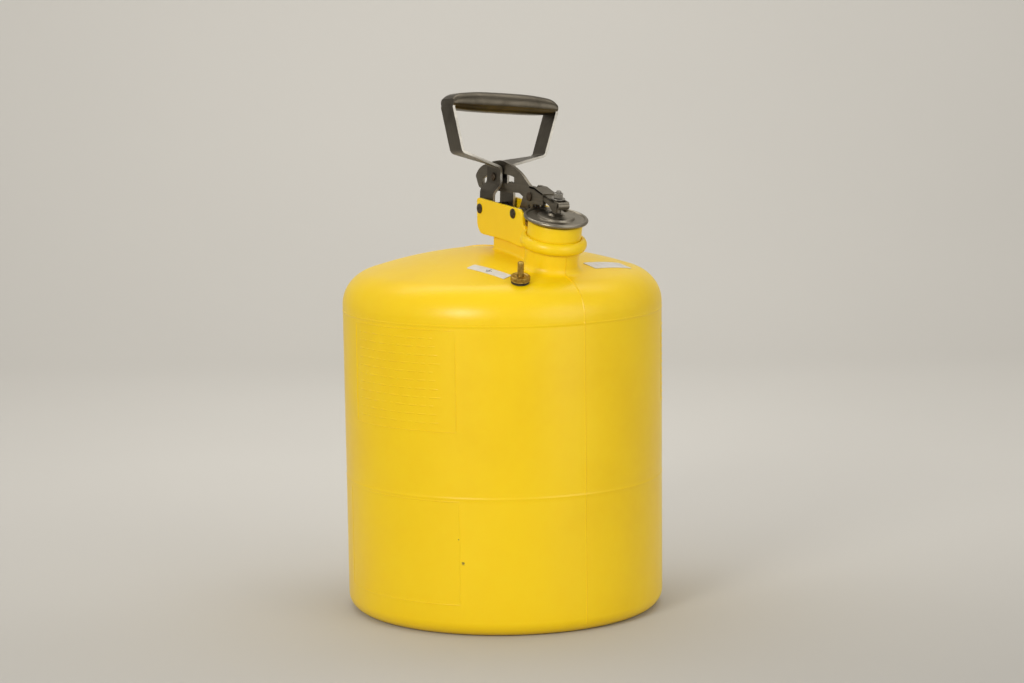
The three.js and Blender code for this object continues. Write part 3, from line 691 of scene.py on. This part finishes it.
def panel(name, middle, width, low, high, rows, filled):
    """A raised frame with plain raised dashes in rows: the place of moulded markings, left blank."""
    half = math.degrees(width / 2 / BODY_R)
    left, right = middle - half, middle + half
    lines = [((left, low), (right, low), 0.9), ((left, high), (right, high), 0.9),
             ((left, low), (left, high), 0.9), ((right, low), (right, high), 0.9)]
    for i in range(rows):
        z = high - (high - low) * (i + 1) / (rows + 1)
        spot = left + 0.06 * (right - left)
        k = 0
        while True:
            length = (right - left) * (0.035 + 0.02 * ((i * 5 + k * 3) % 4))
            if spot + length > left + filled * (right - left):
                break
            lines.append(((spot, z), (spot + length, z), 1.7))
            spot += length + 0.026 * (right - left)
            k += 1
    return raised_lines(name, lines)


# ---- bracket ----
def bracket():
    ear = rounded([(-13.5, 391.3, 3.5), (67, 385.4, 5), (73.2, 380, 4.5), (73.2, 371.5, 0),
                   (77.2, 370, 0), (77.2, 350.6, 0), (66, 350.6, 8), (45, 353.6, 20), (25, 355.4, 20),
                   (-13.5, 357.4, 12)], 8)
    floor = [(-9, 357.2), (68, 353.5), (74, 354.4), (74, 358), (-9, 361.6)]
    parts = [*pair("ear", [ear], EAR_IN, EAR_OUT, 0.01),
             plate("floor", [floor], -EAR_OUT + 1, EAR_OUT - 1, 0.01)]
    tube = [(26 + 5 * math.cos(a), (HOOP_LOW + HOOP_TOP) / 2 + (HOOP_TOP - HOOP_LOW) / 2 * math.sin(a))
            for a in (math.radians(-90 + 180 * k / 16) for k in range(17))]
    inside = NECK_R + 0.3
    hoop = turned("hoop", [(inside, HOOP_LOW), *tube, (inside, HOOP_TOP), (inside, HOOP_LOW)], NECK, 160)
    made = joined("bracket_moulding", [*parts, hoop])
    return moulded(made, 0.65, 12)


# ---- pins, washers and threads ----
def pivot_pin(name, place):
    under, over = EAR_OUT + 0.1, EAR_OUT + 1.7
    half = eased([(0, over, 0), (2.6, over, 0.6), (4.5, over - 0.7, 0.6), (4.8, under, 0.1),
                  (PIN_R, under, 0.1), (PIN_R, 0, 0)], 5)
    other = [(r, -h) for r, h in reversed(half)]
    return turned(name, [*half, *other[1:]], pin_axis(place), 48)


def small_pin(name, place, radius, head, under, over):
    half = eased([(0, over, 0), (head * 0.55, over, 0.5), (head * 0.95, over - 0.45, 0.4),
                  (head, under, 0.1), (radius, under, 0.1), (radius, 0, 0)], 5)
    other = [(r, -h) for r, h in reversed(half)]
    return turned(name, [*half, *other[1:]], pin_axis(place), 40)


def thread(pitch, depth, low, high):
    """A relief that cuts a screw thread between two heights."""
    def relief(angle, height, radius):
        if not low < height < high:
            return 0.0
        phase = (height / pitch - angle / math.tau) % 1.0
        return -depth * abs(2 * phase - 1)
    return relief


def rod_profile(radius, low, high, step, ease):
    count = int((high - low) / step)
    rows = [(radius, low + (high - low) * k / count) for k in range(count + 1)]
    return [(0, low - ease), (radius - ease, low - ease), *rows, (radius - ease, high + ease),
            (0, high + ease)]


def hex_nut(name, flats, bore, low, high, axis):
    """A chamfered hexagon nut."""
    count = 72
    inner, chamfer = flats / 2 * 0.94, 0.5
    rows = []

    def hexagon(angle):
        part = (angle + math.pi / 6) % (math.pi / 3) - math.pi / 6
        return flats / 2 / math.cos(part)

    def drop(radius):
        return max(0.0, radius - inner) * 0.58

    for level in ("bore_low", "face_low", "rim_low", "rim_high", "face_high", "bore_high"):
        row = []
        for k in range(count):
            angle = math.tau * k / count
            reach = hexagon(angle)
            spot = {"bore_low": (bore, low), "face_low": (inner, low),
                    "rim_low": (reach, low + drop(reach) + 0.05),
                    "rim_high": (reach, high - drop(reach)),
                    "face_high": (inner, high), "bore_high": (bore + chamfer, high)}[level]
            row.append((spot[0], angle, spot[1]))
        rows.append(row)
    rows.append([(bore, a, high - chamfer) for _, a, _ in rows[0]])
    rows.append(rows[0])
    verts = [axis.at(*spot) for row in rows for spot in row]
    return add_mesh(name, verts, walls(len(rows), count), 28)


# ---- handle ----
def turn_matrix(degrees, axis):
    return Matrix.Rotation(math.radians(degrees), 4, axis)


LEAN = (Matrix.Translation((REAR_PIN[0], 0, REAR_PIN[1])) @ turn_matrix(HANDLE_LEAN, "Y")
        @ Matrix.Translation((-REAR_PIN[0], 0, -REAR_PIN[1])))
LOOP = (Matrix.Translation(LOOP_FOOT) @ turn_matrix(LOOP_TURN[2], "Z") @ turn_matrix(LOOP_TURN[0], "X")
        @ turn_matrix(LOOP_TURN[1], "Y") @ Matrix.Translation((-REAR_PIN[0], 0, -LOOP_LOW)))


def posed(piece):
    """Leans an upright handle piece and turns its hand loop the little further it was bent."""
    for vert in piece.data.vertices:
        spot = vert.co / MM
        on_loop = spot.z > 440 or (abs(spot.y) > 10 and spot.z > 415)
        vert.co = ((LOOP if on_loop else LEAN) @ spot) * MM
    return piece


def handle_strap():
    half = [(11, 371, 0), (11, 396.5, 5), (3.85, 404.5, 5), (3.85, 421.6, 3.5), (43.4, 431.6, 5),
            (55.3, 475.6, 3.5), (44, 479.2, 8), (0, 479.8, 0)]
    corners = [*half, *[(-y, z, r) for y, z, r in reversed(half[:-1])]]
    line = rounded(corners, 8, closed=False)
    middle = REAR_PIN[0]
    made = plate("handle_strap_band", [band(line, STRAP_T)], middle - STRAP_W / 2,
                 middle + STRAP_W / 2, 0.35, "YZ")
    made.data.materials.append(STRAP_STEEL)
    made.data.materials.append(EDGE_HIGHLIGHT_STEEL)
    # The faces across X, the strap's cut edges, take the lighter steel: a painted highlight.
    for face in made.data.polygons:
        if abs(face.normal.x) > 0.9:
            face.material_index = 1
    return posed(made)


# Distance along the grip, its top, its bottom and half its width.
GRIP = [(0, 489.1, 470.3, 14.8), (14, 489.0, 470.3, 14.8), (28, 488.6, 470.4, 14.8),
        (40, 487.4, 470.8, 14.7), (47, 486.4, 471.3, 14.6), (52, 484.4, 472, 14.4),
        (55, 481.4, 473.2, 14.1)]


def handle_grip():
    """A stamped almond shell, thick in the middle and drawn down to the strap's corners."""
    around = 72
    stations = [*[(-y, *rest) for y, *rest in reversed(GRIP[1:])], *GRIP]
    flows = [flowing([(row[0], row[k]) for row in stations], 5) for k in (1, 2, 3)]
    rows = [(t.x, t.y, b.y, w.y) for t, b, w in zip(*flows)]
    tip = [(55.45, 0.93, 0.3), (55.6, 0.8, 0.9)]
    first, last = rows[0], rows[-1]

    def nose(row, sign):
        out = []
        for y, share, less in tip:
            middle, half = (row[1] + row[2]) / 2, (row[1] - row[2]) / 2 * share
            out.append((sign * y, middle + half, middle - half, row[3] - less))
        return out

    rows = [*reversed(nose(first, -1)), *rows, *nose(last, 1)]
    verts = []
    for y, high, low, wide in rows:
        half_height = (high - low) / 2
        reach = wide - half_height * 0.9
        lip = min(1.0, half_height / 9.0)
        for k in range(around):
            angle = math.tau * k / around
            c, s = math.cos(angle), math.sin(angle)
            fold = 1 / (1 + math.exp((s + 0.42) / 0.018)) if s > -0.98 else 1.0
            curl = fold * 0.75 * lip * min(1.0, abs(c) * 3)
            side = 1 if c > 1e-6 else -1 if c < -1e-6 else 0
            verts.append((REAR_PIN[0] + side * (reach - curl) + c * half_height * 0.9, y,
                          (high + low) / 2 + half_height * s))
    end = (len(rows) - 1) * around
    faces = [*walls(len(rows), around), tuple(range(around)), tuple(reversed(range(end, end + around)))]
    return posed(add_mesh("handle_grip_shell", verts, faces, 40))


def cross_pin_place():
    lean = math.radians(HANDLE_LEAN)
    return (REAR_PIN[0] + CROSS_PIN_REACH * math.sin(lean),
            REAR_PIN[1] + CROSS_PIN_REACH * math.cos(lean))


# ---- lift link ----
def swung(spot, centre, degrees):
    angle = math.radians(degrees)
    dx, dz = spot[0] - centre[0], spot[1] - centre[1]
    return (centre[0] + dx * math.cos(angle) - dz * math.sin(angle),
            centre[1] + dx * math.sin(angle) + dz * math.cos(angle))


def pin_places():
    """Where the handle's cross pin comes to lie in the link."""
    out = []
    for i in range(12):
        swing = HANDLE_RANGE[0] + (HANDLE_RANGE[1] - HANDLE_RANGE[0]) * i / 11
        for j in range(9):
            lift = LID_RANGE[0] + (LID_RANGE[1] - LID_RANGE[0]) * j / 8
            pin = swung(cross_pin_place(), REAR_PIN, swing)
            out.append(swung(swung(pin, FRONT_PIN, -lift), LINK_PIN, -LINK_RATIO * lift))
    return out


def hull(points):
    """The convex outline of the points, anticlockwise."""
    def side(ordered):
        kept = []
        for p in ordered:
            while len(kept) > 1:
                (ax, ay), (bx, by) = kept[-2:]
                if (bx - ax) * (p[1] - ay) - (by - ay) * (p[0] - ax) > 1e-4:
                    break
                kept.pop()
            kept.append(p)
        return kept[:-1]
    ordered = sorted(points)
    return side(ordered) + side(ordered[::-1])


def slot_outline():
    """The arc slot opened up where the cross pin needs it."""
    reach = CROSS_PIN_R + 0.45
    cloud = [p for spot in pin_places() for p in circle(spot, reach, 16)]
    window = hull(cloud)

    def limits(x):
        cuts = []
        for (ax, az), (bx, bz) in zip(window, window[1:] + window[:1]):
            if min(ax, bx) <= x <= max(ax, bx) and ax != bx:
                cuts.append(az + (bz - az) * (x - ax) / (bx - ax))
        low, high = (min(cuts), max(cuts)) if cuts else (math.inf, -math.inf)
        middle = SLOT_CENTRE[1] + math.sqrt(SLOT_R**2 - (x - SLOT_CENTRE[0]) ** 2)
        lean = SLOT_R / (middle - SLOT_CENTRE[1])
        low = min(low, middle - SLOT_HALF * lean)
        return low, max(high, middle + SLOT_HALF * lean)

    left, right, count = -33.2, 28.3, 60
    xs = [left + (right - left) * k / count for k in range(count + 1)]
    lower = [(x, limits(x)[0]) for x in xs]
    upper = [(x, limits(x)[1]) for x in reversed(xs)]
    return [*lower, *upper]


def lift_link():
    top = flowing([(-44.6, 411), (-38, 416.6), (-27, 421), (0.7, 426.2), (22.2, 422.9),
                   (40.8, 416), (57, 405.8), (64.5, 403.5)], 5)
    nose = [(LINK_PIN[0] + 7.2 * math.cos(math.radians(95 - 15 * k)),
             LINK_PIN[1] + 7.2 * math.sin(math.radians(95 - 15 * k))) for k in range(14)]
    under = rounded([(50, 392.5, 8), (38, 397.6, 8), (-34, 396.6, 6), (-40.2, 399, 5),
                     (-45.6, 408.6, 2)], 5, closed=False)
    outline = [*top, *nose, *under]
    return plate("lift_link_plate", [outline, slot_outline(), circle(LINK_PIN, LINK_PIN_R + 0.1)],
                 -1.5, 1.5, 0.25)


# ---- lid arm and lid ----
def lid_arm():
    cheek = rounded([(47.8, 372.2, 8), (65, 372.2, 7), (66.5, 383.5, 3), (71.5, 385, 2.5),
                     (72.5, 390, 1), (90.5, 390, 1), (90.5, 400.4, 0.5), (82, 403.2, 6),
                     (76, 405.4, 6), (61, 406.6, 5), (53.5, 395, 8), (47.8, 385, 6)], 6)
    holes = [circle(FRONT_PIN, PIN_R + 0.1), circle(LINK_PIN, LINK_PIN_R + 0.1),
             circle((65.6, 387.4), 1.8)]
    rail = rounded([(*spout(-19, 64.3), 0.5), (*spout(-19, 59.6), 1), (*spout(-4, 57.5), 4),
                    (*spout(2.5, 54), 2), (*spout(8.6, 54), 2), (*spout(9.5, 64.3), 0.5)], 5)
    rear = [Vector((66, 405.3)), Vector((75, 404.6))]
    hood = rounded([(74, 404.7, 0), (76, 404.4, 3), (82, 402.2, 8), (91.6, 399.4, 0)], 6, closed=False)
    tongue = [Vector(spout(u, 63.3)) for u in (-19, -10, 0, 4)]
    centre = (8.8, 60.7)
    curl = [Vector(spout(centre[0] + 2.6 * math.sin(a), centre[1] + 2.6 * math.cos(a)))
            for a in (math.radians(20 * k) for k in range(16))]
    parts = [*pair("cheek", [cheek, *holes], YOKE_IN, YOKE_OUT),
             *pair("hood", [band(rear, 1.9)], 2.6, YOKE_OUT),
             plate("hood", [band(hood, 1.9)], -YOKE_OUT, YOKE_OUT, 0.3),
             *pair("rail", [rail], 4.6, 6.4),
             plate("tongue", [band(tongue, 2.0)], -6.4, 6.4, 0.3),
             plate("curl", [band(curl, 1.8)], -5.6, 5.6, 0.25)]
    made = joined("lid_arm_pressing", parts)
    made.data.shade_smooth()
    made.data.set_sharp_from_angle(angle=math.radians(35))
    return bevelled(made, 0.3)


def lid_disc():
    rim = [(28 + 1.9 * math.cos(a), 46.8 + 1.95 * math.sin(a))
           for a in (math.radians(-150 + 25 * k) for k in range(13))]
    inside = rounded([(26.2, 47.6, 0.4), (17.6, 47.6, 0.5), (16.6, 49.5, 0.8), (8.4, 49.9, 1.0),
                      (6.2, 51.6, 0.8), (2.7, 51.6, 0.3), (2.7, 46.0, 0)], 5, closed=False)
    line = [(2.7, 46.0), (20, 46.0), (26.1, 46.0), *rim, *[(p.x, p.y) for p in inside]]
    return turned("lid_pressing", line, NECK, 128)


def lid_spring():
    x, z = FRONT_PIN
    curve = bpy.data.curves.new("lid_spring_coil", "CURVE")
    curve.dimensions = "3D"
    curve.bevel_depth = 0.9 * MM
    curve.bevel_resolution = 4
    curve.use_fill_caps = True
    half, steps, turns = 3.7, 120, 3.4
    line = [(x - 13, -half, z - 6.1), (x - 5, -half, z - 6.1)]
    for k in range(steps + 1):
        angle = -math.pi / 2 + math.tau * turns * k / steps
        line.append((x + 6 * math.cos(angle), half * (2 * k / steps - 1), z + 6 * math.sin(angle)))
    away = Vector(line[-1]) - Vector(line[-2])
    away.y = 0
    line.append(Vector(line[-1]) + away.normalized() * 8)
    spline = curve.splines.new("POLY")
    spline.points.add(len(line) - 1)
    for point, spot in zip(spline.points, line):
        point.co = (*(Vector(spot) * MM), 1)
    piece = bpy.data.objects.new("lid_spring_coil", curve)
    bpy.context.collection.objects.link(piece)
    return piece


# ---- grounding post and labels ----
def thumb_nut():
    teeth, low, high = 44, 2.3, 6.8

    def knurl(angle, height, radius):
        if radius < 8.2 or not low + 0.5 < height < high - 0.6:
            return 0.0
        wave = abs((angle * teeth / math.tau) % 1.0 * 2 - 1)
        return -0.42 * wave

    rows = [(9.0, low + 0.5 + (high - low - 1.1) * k / 8) for k in range(9)]
    line = [(3.0, low), (8.4, low), (8.8, low + 0.25), *rows, (8.7, high - 0.3), (8.3, high - 0.05),
            (7.2, high), (6.6, high - 0.35), (4.4, high - 0.35), (3.3, high - 0.2), (3.0, high - 0.5),
            (3.0, low)]
    return turned("bonding_nut", line, POST, teeth * 6, relief=knurl)


def dome_sheet(name, centre, direction, length, width, low, high, corner=1.5):
    """A thin sheet with round corners laid on the dome."""
    turn = math.radians(direction)
    half_l, half_w = length / 2, width / 2
    rim = subdivided(rounded([(-half_l, -half_w, corner), (half_l, -half_w, corner),
                              (half_l, half_w, corner), (-half_l, half_w, corner)], 6), 160)
    shrink = [1.0, 0.97, 0.9, 0.8, 0.65, 0.5, 0.3, 0.12]
    levels = [(1.0, low)] + [(s, high if s < 1 else high - 0.08) for s in shrink]
    verts = []
    for scale, lift in levels:
        for p in rim:
            a, b = p.x * scale, p.y * scale
            x = centre[0] + a * math.cos(turn) - b * math.sin(turn)
            y = centre[1] + a * math.sin(turn) + b * math.cos(turn)
            outward = Vector((x, y, dome_height(x, y) - DOME_LOW))
            outward.length = DOME_R + lift
            verts.append(outward + Vector((0, 0, DOME_LOW)))
    count = len(rim)
    lid = tuple(range((len(levels) - 1) * count, len(levels) * count))
    return add_mesh(name, verts, [*walls(len(levels), count), lid], 60)


def earth_symbol(centre, direction):
    """The plain earth sign: a stem over three bars."""
    turn = math.radians(direction)
    parts = []
    for i, (up, width, height) in enumerate(((2.1, 0.7, 3.6), (0, 7, 0.7), (-1.6, 4.6, 0.7),
                                             (-3.1, 2.2, 0.7))):
        spot = (centre[0] - up * math.sin(turn), centre[1] + up * math.cos(turn))
        parts.append(dome_sheet(f"earth_{i}", spot, direction, width, height, 0.55, 0.68, 0.2))
    return joined("earth_sign", parts)


# ---- assembly ----
def build_container():
    neck_piece = turned("can_neck", neck_profile(), NECK, 160,
                        seam=lambda height: 0.45 if height < HOOP_TOP else 0.0)
    placed(container_shell(), "container", YELLOW, "container")
    for piece in (neck_piece, pedestal(), *panels()):
        placed(piece, "container", YELLOW, slot="moulded_yellow")
    placed(bracket(), "container", YELLOW, "handle_bracket")


def panels():
    outline = [(-101, 30), (-45.4, 30), (-45.4, 126), (-101, 126)]
    edges = [(a, b, 1.2) for a, b in zip(outline, outline[1:] + outline[:1])]
    return [panel("blank_panel_left", -69.5, 125, 190, 283, 11, 0.9),
            panel("blank_panel_right", 72.0, 112, 198, 270, 9, 0.9),
            raised_lines("blank_frame_low", edges, 0.3)]


def build_pins():
    placed(pivot_pin("rear_rivet", REAR_PIN), "container", RIVET, "rear_pivot_pin")
    placed(pivot_pin("front_rivet", FRONT_PIN), "container", RIVET, "front_pivot_pin")
    placed(small_pin("cross_rivet", cross_pin_place(), CROSS_PIN_R, 4.0, 5.3, 6.7), "handle", RIVET,
           "handle_cross_pin")
    placed(small_pin("link_rivet", LINK_PIN, LINK_PIN_R, 4.2, YOKE_OUT + 0.2, 8.9), "lid_arm", RIVET,
           "link_pin")
    shims = (("rear_shim", PIN_R, 6, 12.5, 14.7, REAR_PIN, "container", "rear_washer"),
             ("front_shim", PIN_R, 5, YOKE_OUT + 0.3, 14.7, FRONT_PIN, "container", "front_washer"),
             ("link_sleeve", LINK_PIN_R, 4.4, 1.8, 4.7, LINK_PIN, "lid_arm", "link_spacer"))
    for side, sign in (("near", -1), ("far", 1)):
        for name, pin, rim, inner, outer, place, body, node in shims:
            low, high = sorted((inner * sign, outer * sign))
            shim = ring(f"{name}_{side}", pin + 0.1, rim, low, high, pin_axis(place))
            placed(shim, body, PLAIN_STEEL, f"{node}_{side}")
    placed(ring("rear_sleeve", PIN_R + 0.1, 5, -9.5, 9.5, pin_axis(REAR_PIN)), "handle", PLAIN_STEEL,
           "rear_spacer")


def build_handle():
    strap = handle_strap()
    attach(strap, "handle")
    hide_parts("handle_strap")
    placed(handle_grip(), "handle", STRAP_STEEL, "handle_grip")


def build_lid():
    placed(lift_link(), "lift_link", PLATE_STEEL, "lift_link")
    placed(lid_arm(), "lid_arm", PLATE_STEEL, "lid_arm")
    placed(lid_disc(), "lid_arm", LID_STEEL, "lid_disc")
    placed(ring("lid_seal", 14, 25.6, 43.4, 45.7, NECK, 0.5, 96), "lid_arm", RUBBER, "lid_gasket")
    placed(ring("seal_plate", 2.7, 17, 41.6, 43.1, NECK, 0.4), "lid_arm", PLAIN_STEEL, "gasket_retainer")
    placed(ring("lid_collar", 2.7, 4.2, 51.9, 62, NECK, 0.4, 48), "lid_arm", PLAIN_STEEL, "lid_boss")
    placed(ring("lid_shim", 2.7, 6.4, 64.6, 65.8, NECK, 0.3, 48), "lid_arm", PLAIN_STEEL, "lid_washer")
    placed(hex_nut("lid_hex", 8, 2.7, 66.1, 70.6, NECK), "lid_arm", PLAIN_STEEL, "lid_nut")
    head = eased([(0, 38.3, 0), (4.6, 38.3, 0.8), (5, 41.3, 0.3), (2.5, 41.3, 0)], 4)
    shank = rod_profile(2.5, 42, 72.1, 0.13, 0.4)[2:]
    bolt = turned("lid_screw", [*head, *shank], NECK, 36, relief=thread(0.8, 0.35, 60, 72.2))
    placed(bolt, "lid_arm", PLAIN_STEEL, "lid_bolt")
    placed(lid_spring(), "lid_arm", WIRE_STEEL, "lid_spring")


def build_post():
    post = [(0, -16), (2.5, -16), (2.9, -15.6), (2.9, 6.6)]
    post += [(2.9, 6.8 + 0.13 * k) for k in range(92)]
    post += [(2.9, 19.2), (2.78, 19.8), (2.4, 20.2), (2.0, 20.4), (0, 20.4)]
    placed(turned("bonding_post", post, POST, 40, relief=thread(0.8, 0.1, 7.0, 17.8)), "container",
           BRASS, "ground_stud")
    placed(thumb_nut(), "ground_nut", BRASS, "ground_thumb_nut")
    placed(ring("post_seal", 3.05, 8.4, 0.1, 1.3, POST, 0.4), "container", RUBBER, "ground_seal")
    placed(ring("post_shim", 3.05, 6.6, 1.45, 2.05, POST, 0.2), "container", PLAIN_STEEL, "ground_washer")
    placed(dome_sheet("blank_label", *LABEL_PLACE, 46.5, 11, 0.1, 0.6), "container", LABEL, "ground_label")
    placed(dome_sheet("blank_label_far", (83.9, 66), 108.9, 53, 16, 0.1, 0.6), "container", LABEL,
           "side_label")
    placed(earth_symbol(*LABEL_PLACE), "container", INK, slot="label_paper")


def finish_inside():
    """The pieces that keep their CAD shape get their finish."""
    for node in ("arrester_tube", "arrester_flange", "arrester_cap", "ground_inner_nut",
                 "ground_inner_washer"):
        finish = {"brass": BRASS, "seal_rubber": RUBBER}.get(SLOTS[node], PLAIN_STEEL)
        data = frame["nodes"][node].data
        data.materials.clear()
        data.materials.append(finish)


# ---- studio ----
FORWARD = Vector((-0.86119, 0.48992, -0.13538))
RIGHT = Vector((0.49590, 0.86829, -0.01238))
UP = Vector((-0.11148, 0.07780, 0.99072))
EYE = Vector((2.27863, -1.28604, 0.6105))


def add_camera():
    data = bpy.data.cameras.new("camera")
    data.lens, data.sensor_width = 97.28, 36.0
    camera = bpy.data.objects.new("camera", data)
    bpy.context.collection.objects.link(camera)
    turn = Matrix((RIGHT, UP, -FORWARD)).transposed().to_4x4()
    camera.matrix_world = Matrix.Translation(EYE) @ turn
    bpy.context.scene.camera = camera


def add_sweep():
    """A paper floor that curves up into a backdrop behind the can."""
    ahead = Vector((FORWARD.x, FORWARD.y, 0)).normalized()
    side = Vector((ahead.y, -ahead.x, 0))
    curve_start, curve_r, top = 1.6, 1.2, 3.4
    line = [(-4.0, 0.0), (0.0, 0.0), (curve_start, 0.0)]
    line += [(curve_start + curve_r * math.sin(a), curve_r * (1 - math.cos(a)))
             for a in (math.pi / 2 * k / 24 for k in range(1, 25))]
    line += [(curve_start + curve_r, top)]
    verts = [ahead * d + side * w + Vector((0, 0, h)) for d, h in line for w in (-5, 5)]
    faces = [(2 * i, 2 * i + 1, 2 * i + 3, 2 * i + 2) for i in range(len(line) - 1)]
    mesh = bpy.data.meshes.new("studio_sweep")
    mesh.from_pydata(verts, [], faces)
    mesh.shade_smooth()
    sweep = bpy.data.objects.new("studio_sweep", mesh)
    bpy.context.collection.objects.link(sweep)
    mesh.materials.append(sweep_paper())


def add_light(name, offset, size, power, colour=(1, 1, 1), beyond=0.0):
    """An area light placed from its target in camera directions: right, up, towards the camera."""
    ahead = Vector((FORWARD.x, FORWARD.y, 0)).normalized()
    side = Vector((RIGHT.x, RIGHT.y, 0)).normalized()
    target = Vector((0, 0, 0.22)) + ahead * beyond
    spot = target + side * offset[0] + Vector((0, 0, offset[1])) - ahead * offset[2]
    data = bpy.data.lights.new(name, "AREA")
    data.shape, data.size, data.energy, data.color = "DISK", size, power, colour
    light = bpy.data.objects.new(name, data)
    bpy.context.collection.objects.link(light)
    light.location = spot
    light.rotation_euler = (target - spot).to_track_quat("-Z", "Y").to_euler()


def add_studio():
    bpy.context.scene.view_settings.view_transform = "Standard"
    add_camera()
    add_sweep()
    add_light("key", (-1.1, 0.85, 2.0), 0.8, 26, (1.0, 0.985, 0.95))
    add_light("fill", (1.6, 0.6, 1.6), 1.8, 15)
    add_light("top", (-0.3, 2.2, -0.6), 1.6, 1.5)
    add_light("backdrop", (0.0, 1.6, 2.2), 2.4, 34, (1.0, 0.985, 0.965), beyond=2.9)
    world = bpy.data.worlds.new("studio_air")
    bpy.context.scene.world = world
    world.use_nodes = True
    world.node_tree.nodes["Background"].inputs["Color"].default_value = (1.0, 0.98, 0.96, 1)
    world.node_tree.nodes["Background"].inputs["Strength"].default_value = 0.54


add_studio()
build_container()
build_pins()
build_handle()
build_lid()
build_post()
finish_inside()
